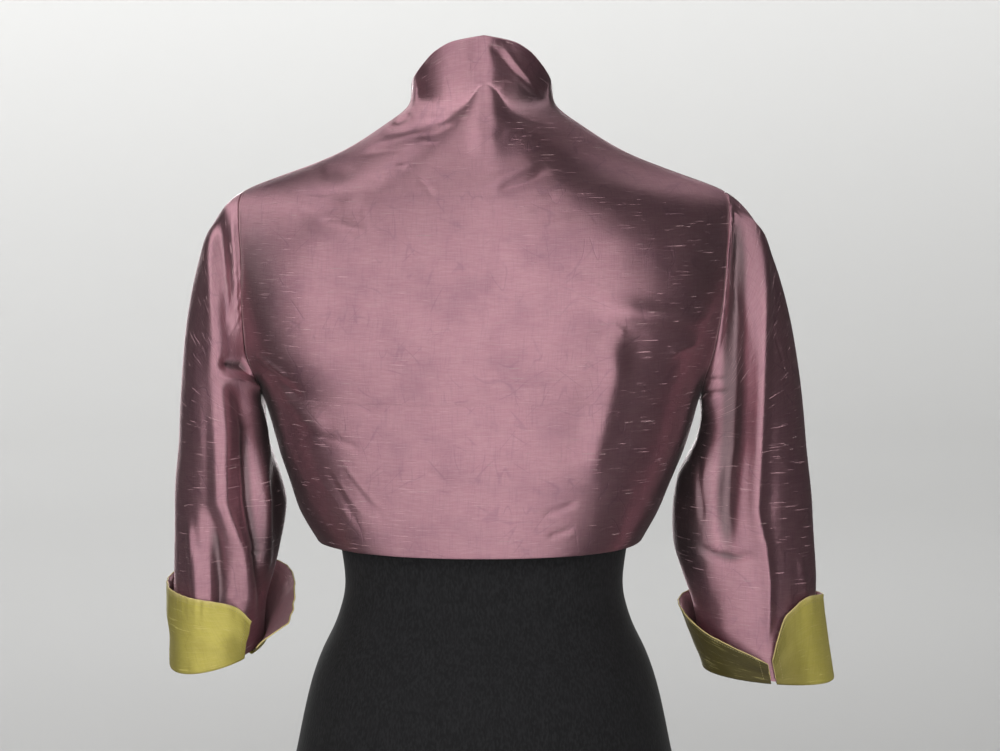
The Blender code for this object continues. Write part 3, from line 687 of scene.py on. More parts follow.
sleeveForm = {
    "names": ("reach", "setBack", "halfWidth", "halfDepth"),
    "capEnd": 0.385, "capRows": 84, "lowerRows": 120, "ribs": 224, "blur": 0.004,
    "shoulderLeave": (1.0, 0.5), "underarmLeave": (0.35, 1.0), "spread": 0.3,
    "startHold": 0.7, "endHold": 1.1, "cuffHold": (0.012, 0.046), "seamHold": 0.006,
    "pucker": 0.0005, "puckerReach": 0.011, "puckerLow": 0.445,  # gathers at the head of the sleeve
    "proud": 0.0014, "proudReach": 0.006, "proudLow": 0.46,  # the head stands above the body
    # the first two values set the painted shade in the sleeves' troughs: how dark, and from what depth
    "addedPaintedShade": 0.8, "paintedShadeFromDepth": 0.002, "crinkle": 0.00022,
}
arms = {
    "left": {
        "side": 1, "hemHeight": 0.2060, "hemTilt": 0.0110, "hemLowAngle": 30, "seed": 41,
        "sections": (  # height, then the names above
            (0.190, 0.2165, -0.004, 0.0365, 0.048),
            (0.240, 0.2150, -0.004, 0.0370, 0.051),
            (0.282, 0.2090, -0.003, 0.0415, 0.055),
            (0.329, 0.2045, -0.002, 0.0450, 0.057),
            (0.347, 0.2062, -0.002, 0.0425, 0.058),
            (0.385, 0.2100, -0.002, 0.0350, 0.060),
            (0.420, 0.2105, -0.002, 0.0340, 0.060),
        ),
        "backCreases": (  # as on the back, for each half of the tube
            (((217.5, 580), (215, 524), (212, 499), (209, 448), (203, 392), (201, 350)), 3.4, 9.5, 0.1),
            (((211.5, 435), (209.5, 392), (209, 335), (195, 298), (191, 262), (190, 150)), 4.6, 7.2, 0),
            (((205, 435), (202.5, 392), (202, 335), (189, 298), (185, 262), (184, 150)), 4.8, 7.2, 0),
            (((212, 570), (206, 525), (202, 499), (200, 460)), -4, 7, 0),
            (((198, 570), (194, 533), (193, 502), (194, 465)), 2, 6, 0),
            (((211, 437), (192, 431), (168, 420)), 7.2, 6, 0.6),
            (((209, 447), (190, 441), (166, 433)), -8.8, 6, 0.3),
            (((203, 445), (192, 415), (186.5, 392), (184.5, 335), (179, 298), (179, 170)), -7, 6.2, 0),
            (((194, 450), (183, 412), (177.5, 392), (172, 335), (171, 298), (175, 260), (184, 205)),
              5, 6.8, 0.1),
            (((173, 385), (166, 332), (169, 281), (183, 222)), -4, 6, 0),
            (((190, 295), (183, 292), (174, 289)), -1.6, 2.6, 0.6),
            (((234, 328), (231, 287), (228, 235)), 2.2, 4.2, 0.2),
            (((228, 302), (226, 270), (224.5, 230)), 2.2, 4, 0.2),
            (((220, 340), (212.5, 305), (208.5, 268), (206, 140)), -8, 8.5, 0),
        ),
        "frontCreases": (
            (((218, 560), (222, 500), (218, 430), (210, 370), (206, 300), (208, 225)), 4.2, 8, 0.1),
            (((206, 545), (206, 480), (204, 420), (195, 350), (194, 280)), -4.2, 6.6, 0.1),
            (((196, 440), (186, 400), (182, 350), (186, 290), (196, 230)), 3.6, 7, 0.1),
            (((206, 432), (190, 428), (176, 420)), -4, 4.8, 0.3),
            (((228, 380), (222, 320), (218, 250)), -3, 6.6, 0.1),
            (((176, 330), (186, 322), (200, 324)), -2, 3.6, 0.4),
        ),
        "dullCuff": ((-217, 0.5), (-190, 0.4), (-150, 0.2), (-60, 0.15), (0, 0.3), (35, 0.4),
                     (62, 0.04), (100, 0.0), (129, 0.15)),  # angle, how much painted shade darkens the cuff there
        "cuff": (  # angle, rise above the hem, flare
            (129, 0.030, 0.0060), (112, 0.046, 0.0050), (90, 0.055, 0.0050), (50, 0.063, 0.0040),
            (0, 0.068, 0.0030), (-90, 0.058, 0.0060), (-150, 0.054, 0.0100), (-185, 0.046, 0.0180),
            (-205, 0.034, 0.0270), (-217, 0.026, 0.0320),
        ),
    },
    "right": {
        "side": -1, "hemHeight": 0.1890, "hemTilt": 0.0040, "hemLowAngle": 0, "seed": 51,
        "sections": (
            (0.180, 0.2330, -0.002, 0.0500, 0.043),
            (0.243, 0.2200, -0.002, 0.0500, 0.045),
            (0.270, 0.2150, -0.002, 0.0540, 0.046),
            (0.297, 0.2100, -0.002, 0.0570, 0.047),
            (0.320, 0.2090, -0.002, 0.0565, 0.048),
            (0.347, 0.2095, -0.002, 0.0535, 0.050),
            (0.385, 0.2160, -0.002, 0.0425, 0.055),
            (0.420, 0.2165, -0.002, 0.0400, 0.056),
        ),
        "backCreases": (
            (((-188, 566), (-186, 533), (-184, 502), (-180, 463), (-178, 430)), 3, 7, 0.1),
            (((-204, 600), (-200, 532), (-197, 500), (-194, 435), (-191.5, 370), (-191, 328),
              (-194, 255)), -9.4, 11.2, 0),
            (((-218.5, 585), (-219.5, 524), (-218.5, 494), (-217.5, 435), (-216, 370), (-215, 328),
              (-218, 300), (-224, 250)), 5.6, 7.6, 0),
            (((-216, 330), (-223, 299), (-226, 271), (-226, 239), (-224, 200)), 3.6, 6, 0.5),
            (((-180, 450), (-178, 416), (-175, 392), (-171, 360), (-170, 310)), 3.6, 9, 0.1),
            (((-168, 431), (-178, 430), (-190, 431)), -2.2, 2.6, 0.4),
            (((-168, 421), (-178, 419), (-190, 420)), -2.8, 3, 0.4),
            (((-168, 297), (-183, 290), (-199, 288), (-210, 291), (-217, 296)), -3.4, 4.2, 0.2),
            (((-174, 385), (-172, 350), (-174, 310)), -1.6, 3, 0.3),
            (((-223, 480), (-232, 455), (-237, 440)), -1, 1.6, 0.7),
            (((-250, 295), (-256, 265), (-260, 240)), 1.6, 4.2, 0.2),
        ),
        "frontCreases": (
            (((-222, 555), (-224, 490), (-220, 420), (-214, 350), (-218, 280), (-226, 210)),
              4.2, 8, 0.1),
            (((-208, 545), (-207, 470), (-203, 400), (-198, 330), (-206, 260)), -4.4, 7, 0.1),
            (((-192, 440), (-188, 390), (-182, 340), (-190, 280)), 3.6, 7.6, 0.1),
            (((-172, 426), (-186, 424), (-200, 428)), -3.4, 4, 0.3),
            (((-238, 370), (-240, 300), (-246, 230)), -3, 6.6, 0.1),
            (((-176, 316), (-192, 306), (-208, 310)), -2.2, 4, 0.4),
        ),
        # angle, how much painted shade darkens the cuff there
        "dullCuff": ((-267, 1.0), (-200, 0.9), (-160, 0.4), (0, 0.0), (48, 0.0), (66, 0.45), (88, 0.75)),
        "cuff": (
            (88, 0.018, 0.0030), (80, 0.036, 0.0035), (68, 0.056, 0.0040), (40, 0.070, 0.0035),
            (0, 0.067, 0.0030), (-90, 0.060, 0.0050), (-150, 0.057, 0.0060), (-185, 0.053, 0.0100),
            (-225, 0.036, 0.0140), (-255, 0.023, 0.0120), (-267, 0.016, 0.0090),
        ),
    },
}
for arm in arms.values():
    arm["dull"] = smoothCurve(*zip(*arm["dullCuff"]))
    arm["curves"] = formCurves({**sleeveForm, "sections": arm["sections"]})


def sleeveRing(arm, angle, height):  # angle 0 on the outer side, 90 behind
    curves = arm["curves"]
    turn = np.radians(angle)
    x = curves["reach"](height) + curves["halfWidth"](height) * np.cos(turn)
    y = curves["setBack"](height) + curves["halfDepth"](height) * np.sin(turn)
    return np.stack(np.broadcast_arrays(arm["side"] * x, y, height), -1)


def sleeveCap(arm, angle, t):
    form, side, turn = sleeveForm, arm["side"], np.radians(angle)
    edgeTurn = np.where(angle <= 180, armholeTurn(angle, "back"), armholeTurn(angle, "front"))
    edge = sectionPoint(bodyCurves, side * edgeTurn, armholeHeight(angle))
    foot = sleeveRing(arm, angle, np.full_like(turn, form["capEnd"]))
    length = np.linalg.norm(foot - edge, axis=-1, keepdims=True)
    up = (1 + np.cos(turn)) / 2
    out = form["underarmLeave"][0] + (form["shoulderLeave"][0] - form["underarmLeave"][0]) * up
    down = form["underarmLeave"][1] + (form["shoulderLeave"][1] - form["underarmLeave"][1]) * up
    leave = unit(np.stack((side * out, form["spread"] * np.sin(turn), -down), -1))
    leave = leave * form["startHold"] * length
    arrive = sleeveRing(arm, angle, np.full_like(turn, form["capEnd"] - 0.002)) - foot
    arrive = unit(arrive) * form["endHold"] * length
    start = edge + np.array((side * bodyForm["seamGap"], 0, 0))
    t = np.asarray(t)[:, None, None]
    point = start * ((1 + 2 * t) * (1 - t) ** 2) + leave * (t * (1 - t) ** 2)
    return point + foot * (t * t * (3 - 2 * t)) - arrive * (t * t * (1 - t))


def sleeveHem(arm, angle):
    return arm["hemHeight"] - arm["hemTilt"] * np.cos(np.radians(angle - arm["hemLowAngle"]))


def sleeveGrid(arm):  # the sleeve's cloth from armhole to hem, creases and all
    form = sleeveForm
    angles = np.arange(form["ribs"]) * 360 / form["ribs"]
    cap = sleeveCap(arm, angles, np.linspace(0, 1, form["capRows"]))
    down = np.linspace(0, 1, form["lowerRows"] + 1)[1:, None]
    heights = form["capEnd"] + (sleeveHem(arm, angles) - form["capEnd"]) * down
    points = np.concatenate((cap, sleeveRing(arm, angles[None, :], heights)))
    x, z = points[..., 0], points[..., 2]
    axis = np.stack((arm["side"] * arm["curves"]["reach"](z), np.zeros_like(z), z), -1)
    normals = gridNormals(points, True, axis)
    runs = np.linalg.norm(np.diff(points, axis=0), axis=2)
    fromSeam = np.concatenate((np.zeros((1, form["ribs"])), np.cumsum(runs, 0)))
    around = np.radians(angles)[None, :]
    behind, ahead = softStep(np.sin(around) / 0.35), softStep(-np.sin(around) / 0.35)
    lift = creaseLift(x, z, arm["backCreases"]) * behind + creaseLift(x, z, arm["frontCreases"]) * ahead
    holdStart, holdRun = form["cuffHold"]  # the creases fade out above the cuff
    aboveHem = z - sleeveHem(arm, angles)
    lift *= softStep(fromSeam / form["seamHold"]) * softStep((aboveHem - holdStart) / holdRun)
    wave = np.sin(around * 41 + 1.7 * np.sin(around * 7))
    wave = wave + 0.6 * np.sin(around * 67 + 2.0 * np.sin(around * 5 + 1))
    strength = 0.55 + 0.45 * np.sin(around * 3 + arm["seed"])
    gathers = np.exp(-fromSeam / form["puckerReach"]) * softStep(fromSeam / 0.002)
    pucker = form["pucker"] * wave * strength * gathers * softStep((z - form["puckerLow"]) / 0.05)
    head = np.exp(-fromSeam / form["proudReach"]) * behind
    proud = form["proud"] * head * softStep((z - form["proudLow"]) / 0.05)
    points = points + normals * (lift + pucker + proud)[..., None]
    noise = ripple(np.broadcast_to(around * 3.2 + 20, x.shape), fromSeam * 26 + 9, arm["seed"])
    fine = ripple(np.broadcast_to(around * 7.2 + 20, x.shape), fromSeam * 60 + 9, arm["seed"] + 1)
    seamless = softStep(np.minimum(angles, 360 - angles) / 12)[None, :]  # none where the ring closes
    # painted shade: darker where a crease sinks the cloth into a trough
    addedPaintedShade = form["addedPaintedShade"] * softStep((-lift - form["paintedShadeFromDepth"]) / 0.004)
    return points + normals * ((noise + 0.5 * fine) * form["crinkle"] * seamless)[..., None], axis, addedPaintedShade


def makeSleeve(word, arm):
    points, axis, addedPaintedShade = sleeveGrid(arm)
    normals = gridNormals(points, True, axis)
    seam = tuckedRows(points, normals, underSeam)
    points = np.concatenate((seam, points))
    addedPaintedShade = np.concatenate((addedPaintedShade[:1].repeat(len(seam), 0), addedPaintedShade))
    parts = [(points, True, axis[len(axis) // 2, 0], 0.0, addedPaintedShade, (7.0, 3.0 * arm["side"], 0.3))]
    return sheetMesh("sleeve_" + word + "_cloth", parts, roseSilk)


sleeves = {word: makeSleeve(word, arm) for word, arm in arms.items()}

# Turned-back cuffs: a rose layer next to the sleeve and a chartreuse one outside, with a rolled edge

cuffForm = {
    "columns": 240, "rows": 44, "wall": 0.0010, "layerGap": 0.0004, "flareCurve": 1.2,
    "insideDepth": 0.020, "beadRadius": 0.00055, "wave": 0.0007,
    "pucker": 0.0007, "dent": 0.0012, "groove": 0.0003, "foldInside": 0.0026, "foldDrop": 0.0024,
}


def cuffBase(arm, angle, rise, away):  # a point off the sleeve's form, above its hem
    height = sleeveHem(arm, angle) + rise
    point = sleeveRing(arm, angle, height)
    turn = np.radians(angle)
    normal = np.stack((arm["side"] * np.cos(turn) / arm["curves"]["halfWidth"](height),
                       np.sin(turn) / arm["curves"]["halfDepth"](height), np.zeros_like(height)), -1)
    return point + unit(normal) * np.asarray(away)[..., None]


def cuffGrid(arm, extra):
    form = cuffForm
    table = np.array(sorted(arm["cuff"]))
    top, flare = smoothCurve(table[:, 0], table[:, 1]), smoothCurve(table[:, 0], table[:, 2])
    angles = np.linspace(table[-1, 0], table[0, 0], form["columns"])
    up = np.linspace(0, 1, form["rows"])[:, None]
    level = up + 0.0 * angles
    wave = form["wave"] * ripple(angles / 16 + 40, np.full_like(angles, 3.5), arm["seed"]) * up
    wave = wave + form["pucker"] * ripple(angles / 4.5 + 60, level * 2.2, arm["seed"] + 2) * up ** 3
    wave = wave + form["dent"] * ripple(angles / 24 + 30, level * 3.0, arm["seed"] + 4) * np.sin(math.pi * up)
    wave = wave - form["groove"] * np.exp(-((1 - up) * top(angles) / 0.0012 - 2.8) ** 2)
    away = form["layerGap"] + form["wall"] + extra + flare(angles) * up ** form["flareCurve"] + wave
    return cuffBase(arm, np.broadcast_to(angles, away.shape), top(angles) * up, away), angles


def bead(path, radius, seed):  # a soft rolled edge along a path
    tangent = unit(np.gradient(path, axis=0))
    side = unit(np.cross(tangent, np.array((0.3, 0.2, 0.93))))
    other = np.cross(tangent, side)
    length = np.concatenate(((0.0,), np.cumsum(np.linalg.norm(np.diff(path, axis=0), axis=1))))
    girth = radius * (1 + 0.22 * ripple(length * 160 + 5, np.full_like(length, 0.5), seed))
    ends = softStep(np.minimum(length, length[-1] - length) / 0.002) * 0.8 + 0.2
    angles = np.linspace(0, 2 * math.pi, 11)[:-1]
    rings = [path + (side * math.cos(a) + other * math.sin(a)) * (girth * ends)[:, None] for a in angles]
    return np.array(rings).transpose(1, 0, 2)


def makeCuff(word, arm):
    form = cuffForm
    inner, angles = cuffGrid(arm, 0.0)
    outer, _ = cuffGrid(arm, form["wall"] + form["layerGap"])
    hem = np.array((arm["side"] * arm["curves"]["reach"](arm["hemHeight"]), 0, arm["hemHeight"]))
    parts = [(inner, False, hem, 0.45, 0.0, (11.0, 5.0 * arm["side"], 0.4))]
    rose = sheetMesh("cuff_" + word + "_cloth", parts, roseSilk)
    reach = form["layerGap"] * 2 + form["wall"] * 2  # the fold goes round the sleeve's hem and up inside it
    back = -form["foldInside"]
    steps = []  # rise above the hem, distance out from the sleeve's form
    for turn in np.radians((35, 65, 90, 115, 145, 180)):
        across = (reach + back) / 2 + (reach - back) / 2 * math.cos(turn)
        steps.append((-form["foldDrop"] * math.sin(turn), across))
    steps += [(rise, back) for rise in np.linspace(0, form["insideDepth"], 9)[1:]]
    level = np.ones_like(angles)
    fold = [cuffBase(arm, angles, level * rise, level * away) for rise, away in steps]
    sheet = np.concatenate((np.array(fold)[::-1], outer))
    fromEdge = np.arange(len(sheet))[::-1, None] / 1.5
    rubbed = 0.40 + 0.35 * ripple(angles / 5 + 60, np.full_like(angles, 4.5), arm["seed"] + 8)
    rubbed = np.exp(-fromEdge ** 2) * rubbed
    middle = (inner + outer) / 2
    path = np.concatenate((middle[4:, 0], middle[-1, 1:-1], middle[4:, -1][::-1]))
    rolled = bead(path, form["beadRadius"], arm["seed"] + 7)
    # the facing: real wear on its folded edge and painted shade by angle; the rolled edge: wear and a little
    # painted shade
    parts = [(sheet, False, hem, rubbed, arm["dull"](angles), (13.0, 5.0 * arm["side"], 0.5)),
             (rolled, True, middle[-1, len(angles) // 2], 0.6, 0.15, (17.0, 5.0 * arm["side"], 0.6))]
    return rose, sheetMesh("cuff_facing_" + word + "_cloth", parts, chartreuseSilk)


cuffs = {word: makeCuff(word, arm) for word, arm in arms.items()}

# Dress form, smooth and whole under the jacket

dressForm = {
    "names": bodyForm["names"],
    "sections": (
        (0.000, 0.157, 0.157, 0.104, 0.094, 2.20), (0.020, 0.160, 0.160, 0.107, 0.096, 2.20),
        (0.070, 0.162, 0.162, 0.108, 0.097, 2.20), (0.132, 0.151, 0.151, 0.103, 0.092, 2.20),
        (0.178, 0.141, 0.141, 0.096, 0.090, 2.20), (0.205, 0.132, 0.132, 0.088, 0.088, 2.20),
        (0.232, 0.119, 0.119, 0.078, 0.085, 2.20), (0.262, 0.112, 0.112, 0.072, 0.085, 2.20),
        (0.290, 0.115, 0.115, 0.073, 0.089, 2.20), (0.330, 0.124, 0.124, 0.079, 0.098, 2.20),
        (0.370, 0.135, 0.135, 0.088, 0.110, 2.20), (0.410, 0.145, 0.145, 0.095, 0.118, 2.20),
        (0.455, 0.154, 0.154, 0.099, 0.112, 2.20), (0.500, 0.161, 0.161, 0.098, 0.097, 2.20),
        (0.540, 0.166, 0.166, 0.095, 0.082, 2.00), (0.565, 0.167, 0.167, 0.091, 0.073, 1.80),
        (0.580, 0.165, 0.165, 0.088, 0.068, 1.65),
    ),
    "blur": 0.006, "seatStart": 0.590, "seatDrop": 0.0012, "seatEase": 0.0034, "top": 0.660,
    "columns": 160, "rows": 190, "roundFoot": 0.004, "roundTop": 0.003,
}


def capRings(rim, radius):  # rings that close an end, from its rim inwards
    centre = np.array((0, 0, rim[0, 2]))
    inward = unit(centre - rim)
    rings = [rim + inward * radius * (1 - math.cos(a)) for a in np.radians((45, 90))]
    return rings + [centre + (rim - centre) * share for share in (0.7, 0.4, 0.12)]


def makeForm():
    form = dict(dressForm)
    seat = []
    for height in np.linspace(form["seatStart"], form["top"], 11):
        sizes = [bodyCurves[n](height + form["seatDrop"]) - form["seatEase"] for n in form["names"][:4]]
        seat.append((height, *sizes, bodyCurves["power"](height + form["seatDrop"])))
    form["sections"] = form["sections"] + tuple(seat)
    curves = formCurves(form)
    turns = np.linspace(180, -180, form["columns"], endpoint=False)
    heights = np.linspace(0, form["top"], form["rows"])
    rings = [sectionPoint(curves, turns, np.full_like(turns, h)) for h in heights]
    rings = capRings(rings[0], form["roundFoot"])[::-1] + rings + capRings(rings[-1], form["roundTop"])
    parts = [(np.array(rings), True, np.array((0, 0, 0.3)), 0.0, 0.0, (0, 0, 0))]
    piece = sheetMesh("dress_form_jersey", parts, formJersey)
    mesh = piece.data
    shape = bmesh.new()
    shape.from_mesh(mesh)
    shape.verts.ensure_lookup_table()
    for ends in (shape.verts[:form["columns"]], shape.verts[-form["columns"]:]):
        shape.faces.new(ends)
    bmesh.ops.recalc_face_normals(shape, faces=shape.faces)
    shape.to_mesh(mesh)
    shape.free()
    mesh.shade_smooth()
    return piece


stand = makeForm()

# Thick weft threads that stand out of the cloth, and the stitches of the seams

threadWork = {
    "slubLow": (0.0012, 0.00013, 0.00008), "slubHigh": (0.0075, 0.00026, 0.00014),
    "stitchPitch": 0.0024, "stitchSize": (0.00085, 0.00020, 0.00016),
    "slubs": (  # node, cloth, number to a square metre, seed
        ("back", back, 620, 3),
        ("sleeve_left", sleeves["left"], 700, 4), ("sleeve_right", sleeves["right"], 700, 5),
        ("front_left", frontLeft, 500, 6), ("front_right", frontRight, 500, 7),
    ),
    "seamShift": 0.0003, "seamDepth": 0.0002, "edgeLift": 0.0001,
}


def nodeGroup(name, inputs):
    tree = bpy.data.node_groups.new(name, "GeometryNodeTree")
    sockets = {}
    for title, kind in inputs:
        sockets[title] = tree.interface.new_socket(title, in_out="INPUT", socket_type="NodeSocket" + kind)
    tree.interface.new_socket("Geometry", in_out="OUTPUT", socket_type="NodeSocketGeometry")
    nodes = Nodes(tree)
    entry = tree.nodes.new("NodeGroupInput")
    wires = {t: Wire(nodes, entry.outputs[t]) for t, _ in inputs}
    return nodes, wires, {t: socket.identifier for t, socket in sockets.items()}


def scattered(nodes, points, turned, scale, finish):  # one small spindle on each point
    spindle = nodes.node("GeometryNodeMeshUVSphere", None, {"Segments": 6, "Rings": 6, "Radius": 1.0})
    sockets = {"Points": points, "Instance": spindle, "Rotation": turned, "Scale": scale}
    real = nodes.node("GeometryNodeRealizeInstances", None,
                      {"Geometry": nodes.node("GeometryNodeInstanceOnPoints", None, sockets)})
    smooth = nodes.node("GeometryNodeSetShadeSmooth", None, {"Geometry": real})
    done = nodes.node("GeometryNodeSetMaterial", None, {"Geometry": smooth, "Material": finish})
    leave = nodes.tree.nodes.new("NodeGroupOutput")
    nodes.tree.links.new(done.socket, leave.inputs[0])


def slubGroup():
    inputs = (("Geometry", "Geometry"), ("Density", "Float"), ("Seed", "Int"),
              ("Low", "Vector"), ("High", "Vector"), ("Thread", "Material"))
    nodes, wires, sockets = nodeGroup("slub threads", inputs)
    spread = {"Mesh": wires["Geometry"], "Density": wires["Density"], "Seed": wires["Seed"]}
    points = nodes.node("GeometryNodeDistributePointsOnFaces", None, spread)
    upright = Wire(nodes, points.socket.node.outputs["Rotation"])
    across = nodes.node("GeometryNodeInputNamedAttribute", {"data_type": "FLOAT_VECTOR"}, {"Name": "across"})
    turned = nodes.node("FunctionNodeAlignRotationToVector", {"axis": "X", "pivot_axis": "Z"},
                        {"Rotation": upright, "Vector": across})
    scale = nodes.node("FunctionNodeRandomValue", {"data_type": "FLOAT_VECTOR"},
                       {0: wires["Low"], 1: wires["High"], "Seed": wires["Seed"]})
    scattered(nodes, points, turned, scale, wires["Thread"])
    return nodes.tree, sockets


def stitchGroup():
    inputs = (("Geometry", "Geometry"), ("Pitch", "Float"), ("Size", "Vector"), ("Thread", "Material"))
    nodes, wires, sockets = nodeGroup("stitch row", inputs)
    curve = nodes.node("GeometryNodeMeshToCurve", None, {"Mesh": wires["Geometry"]})
    spaced = {"Curve": curve, "Length": wires["Pitch"]}
    points = nodes.node("GeometryNodeCurveToPoints", {"mode": "LENGTH"}, spaced)
    tangent = Wire(nodes, points.socket.node.outputs["Tangent"])
    turned = nodes.node("FunctionNodeAlignRotationToVector", {"axis": "X"}, {"Vector": tangent})
    scattered(nodes, points, turned, wires["Size"], wires["Thread"])
    return nodes.tree, sockets


def grown(name, mesh, group, values):  # the node group's result as a plain mesh
    tree, sockets = group
    source = bpy.data.objects.new(name + " source", mesh)
    scene.collection.objects.link(source)
    modifier = source.modifiers.new("threads", "NODES")
    modifier.node_group = tree
    for title, value in values.items():
        modifier[sockets[title]] = value
    result = bpy.data.meshes.new_from_object(source.evaluated_get(bpy.context.evaluated_depsgraph_get()))
    bpy.data.objects.remove(source)
    result.name = name
    piece = bpy.data.objects.new(name, result)
    scene.collection.objects.link(piece)
    print(name, "faces:", len(result.polygons))
    return piece


def pathMesh(name, path):
    mesh = bpy.data.meshes.new(name)
    mesh.from_pydata(path, [(i, i + 1) for i in range(len(path) - 1)], [])
    return mesh


def armholePath(arm):  # down in the groove between body and sleeve
    angles = np.linspace(0, 360, 241)
    turn = np.where(angles <= 180, armholeTurn(angles, "back"), armholeTurn(angles, "front"))
    edge = sectionPoint(bodyCurves, arm["side"] * turn, armholeHeight(angles))
    middle = np.array((0, 0, armholeHeight(90.0)))
    shift = np.array((arm["side"] * threadWork["seamShift"], 0, 0))
    return edge + shift + unit(middle - edge) * threadWork["seamDepth"]


def cuffPath(arm):  # a line of stitching inside the cuff's rolled edge
    outer, _ = cuffGrid(arm, cuffForm["wall"] + cuffForm["layerGap"] + threadWork["edgeLift"])
    return np.concatenate((outer[6:-4, 4], outer[-4, 5:-5], outer[6:-4, -5][::-1]))


slubs, stitches = slubGroup(), stitchGroup()
threads = {}
for node, cloth, density, seed in threadWork["slubs"]:
    values = {"Density": density, "Seed": seed, "Low": threadWork["slubLow"], "High": threadWork["slubHigh"],
              "Thread": roseThread}
    threads[node] = [grown(node + "_slubs", cloth.data, slubs, values)]
for word, arm in arms.items():
    values = {"Pitch": threadWork["stitchPitch"], "Size": threadWork["stitchSize"]}
    seamPath, edgePath = pathMesh("seam", armholePath(arm)), pathMesh("edge", cuffPath(arm))
    threads["sleeve_" + word].append(
        grown("sleeve_" + word + "_stitches", seamPath, stitches, {**values, "Thread": roseThread}))
    threads["cuff_facing_" + word] = [
        grown("cuff_" + word + "_stitches", edgePath, stitches, {**values, "Thread": oliveThread})]

# Stage, lights and camera

stageLook = {
    "floorRadius": 3.3, "sweep": 1.6, "top": 4.2, "columns": 96,
    "wall": (0.80, 0.80, 0.79, 1), "floor": (0.52, 0.52, 0.515, 1), "cloud": (0.70, 0.70, 0.695, 1),
}


def makeStage():
    radius, sweep = stageLook["floorRadius"], stageLook["sweep"]
    profile = [(r, 0.0) for r in np.linspace(0.001, radius, 20)]
    bend = np.linspace(0.08, math.pi / 2, 22)
    profile += [(radius + sweep * math.sin(a), sweep * (1 - math.cos(a))) for a in bend]
    profile += [(radius + sweep, z) for z in np.linspace(sweep, stageLook["top"], 6)[1:]]
    turns = np.linspace(0, 2 * math.pi, stageLook["columns"], endpoint=False)
    points = np.array([[(r * math.sin(t), r * math.cos(t), z) for t in turns] for r, z in profile])
    bowl = Finish("pale studio", Roughness=0.9, Specular_IOR_Level=0.1)
    place = bowl.node("ShaderNodeTexCoord", None, None, 3)
    cloud = bowl.noise(place, (0.6, 0.6, 0.6), 2.0)
    height = bowl.node("ShaderNodeSeparateXYZ", None, {0: place}, 2)
    tone = bowl.mix(height.between(-0.2, 1.6), stageLook["floor"], stageLook["wall"])
    bowl.feed("Base Color", bowl.mix(cloud * 0.2, tone, stageLook["cloud"]))
    parts = [(points, True, np.array((0, 0, 9.0)), 0.0, 0.0, (0, 0, 0))]
    piece = sheetMesh("studio_floor", parts, bowl.material)
    piece.visible_glossy = False  # the silk mirrors the lamps alone


def areaLight(name, place, target, width, height, power, spread):
    lamp = bpy.data.lights.new(name, "AREA")
    lamp.shape = "RECTANGLE"
    lamp.size, lamp.size_y = width, height
    lamp.energy = power
    lamp.spread = math.radians(spread)
    item = bpy.data.objects.new(name, lamp)
    scene.collection.objects.link(item)
    item.location = place
    item.rotation_euler = (Vector(target) - Vector(place)).to_track_quat("-Z", "Y").to_euler()
    item.visible_camera = False


lampLook = {  # the broad light is an arc of panels round the photo's side
    "target": (0, 0, 0.45), "spread": 100,
    "arcs": (  # distance, middle's height, panel height, then each panel's turn, width in degrees and power
        (2.5, 0.85, 1.60, ((-31, 26, 4.9), (-5, 26, 5.4), (21, 26, 4.6), (48, 28, 4.6))),
        (1.3, 0.15, 0.26, ((-18, 28, 0.38), (10, 28, 0.42), (38, 28, 0.34))),
    ),
    "lamps": (  # name, place, target, width, height, power, spread
        ("top left", (1.20, -0.10, 2.05), (0.08, 0, 0.55), 1.0, 1.0, 9, 180),
        ("front fill", (0.3, -3.0, 1.15), (0, 0, 0.45), 2.4, 0.7, 8, 60),
        ("far wall", (0.0, 1.4, 3.4), (0.0, 4.9, 1.6), 3.0, 1.0, 60, 180),
        ("backdrop left", (1.6, -1.6, 3.4), (0.8, -4.9, 1.6), 1.6, 1.0, 122, 180),
        ("backdrop right", (-1.6, -1.6, 3.4), (-0.6, -4.9, 1.5), 1.6, 1.0, 44, 180),
    ),
    "air": (1.0, 0.97, 0.95, 1), "airStrength": 0.015,
}


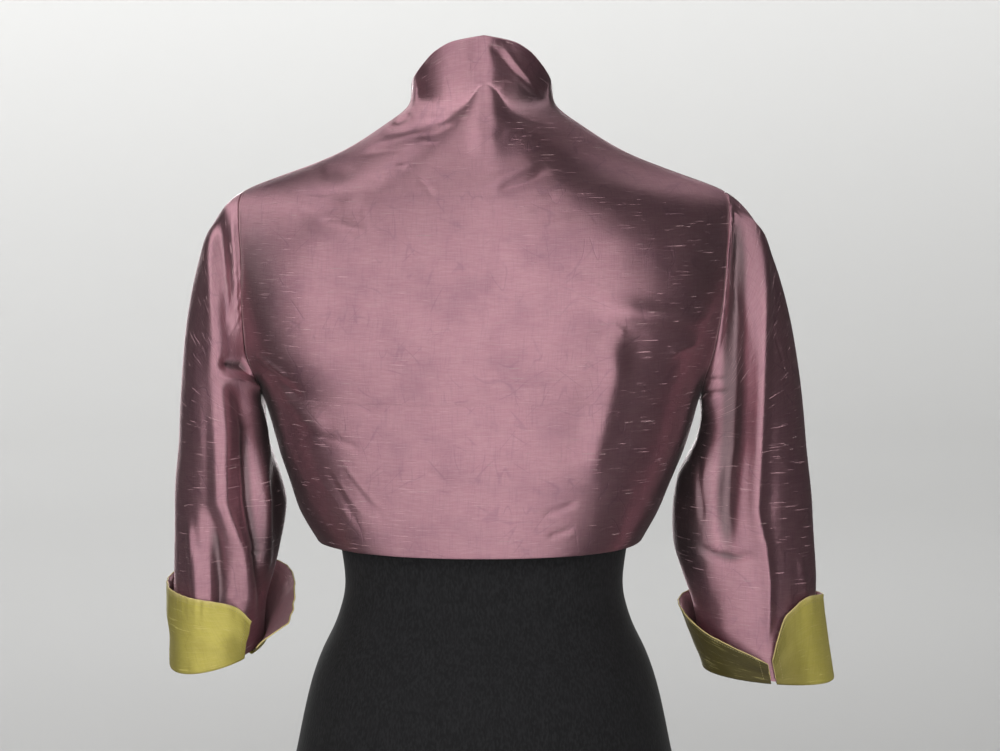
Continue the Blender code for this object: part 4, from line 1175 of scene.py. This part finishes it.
def makeLights():
    look = lampLook
    for reach, height, tall, panels in look["arcs"]:
        for turn, width, power in panels:
            away = math.radians(turn)
            place = (reach * math.sin(away), reach * math.cos(away), height)
            size = 2 * reach * math.tan(math.radians(width) / 2)
            areaLight("panel %d" % turn, place, look["target"], size, tall, power, look["spread"])
    for lamp in look["lamps"]:
        areaLight(*lamp)
    world = bpy.data.worlds.new("studio air")
    world.use_nodes = True
    air = world.node_tree.nodes["Background"]
    air.inputs["Color"].default_value = look["air"]
    air.inputs["Strength"].default_value = look["airStrength"]
    scene.world = world


cameraLook = {"sensor": 36, "lens": 90, "shift": 0.016, "place": (0, 2.0, 0.626), "tilt": 5.6}


def makeCamera():
    look = cameraLook
    camera = bpy.data.cameras.new("photo camera")
    camera.sensor_width, camera.lens, camera.shift_x = look["sensor"], look["lens"], look["shift"]
    item = bpy.data.objects.new("photo camera", camera)
    scene.collection.objects.link(item)
    item.location = look["place"]
    item.rotation_euler = (math.radians(90 - look["tilt"]), 0, math.radians(180))
    scene.camera = item


makeStage()
makeLights()
makeCamera()
print("stage, lights and camera made")

# What each piece stands for, and the cut of each sheet

sheets = (  # piece, node, slot, flat width and length, area, what it rests on
    (back, "back", "rose_silk", (0.50, 0.42), 0.166, ["dress_form"]),
    (frontLeft, "front_left", "rose_silk", (0.21, 0.39), 0.064, ["dress_form"]),
    (frontRight, "front_right", "rose_silk", (0.21, 0.39), 0.063, ["dress_form"]),
    (sleeves["left"], "sleeve_left", "rose_silk", (0.335, 0.385), 0.093, ["back", "front_left"]),
    (sleeves["right"], "sleeve_right", "rose_silk", (0.335, 0.40), 0.102, ["back", "front_right"]),
    (cuffs["left"][0], "cuff_left", "rose_silk", (0.33, 0.070), 0.0180, ["sleeve_left"]),
    (cuffs["right"][0], "cuff_right", "rose_silk", (0.33, 0.070), 0.0180, ["sleeve_right"]),
    (cuffs["left"][1], "cuff_facing_left", "chartreuse_silk", (0.34, 0.098), 0.0270, ["cuff_left"]),
    (cuffs["right"][1], "cuff_facing_right", "chartreuse_silk", (0.34, 0.098), 0.0270, ["cuff_right"]),
)
for piece, node, slot, flat, area, rests in sheets:
    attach(piece, "root")
    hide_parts(node)
    sewn = threads.get(node, [])
    for thread in sewn:
        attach(thread, "root")
        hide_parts(node)
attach(stand, "root")
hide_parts("dress_form")
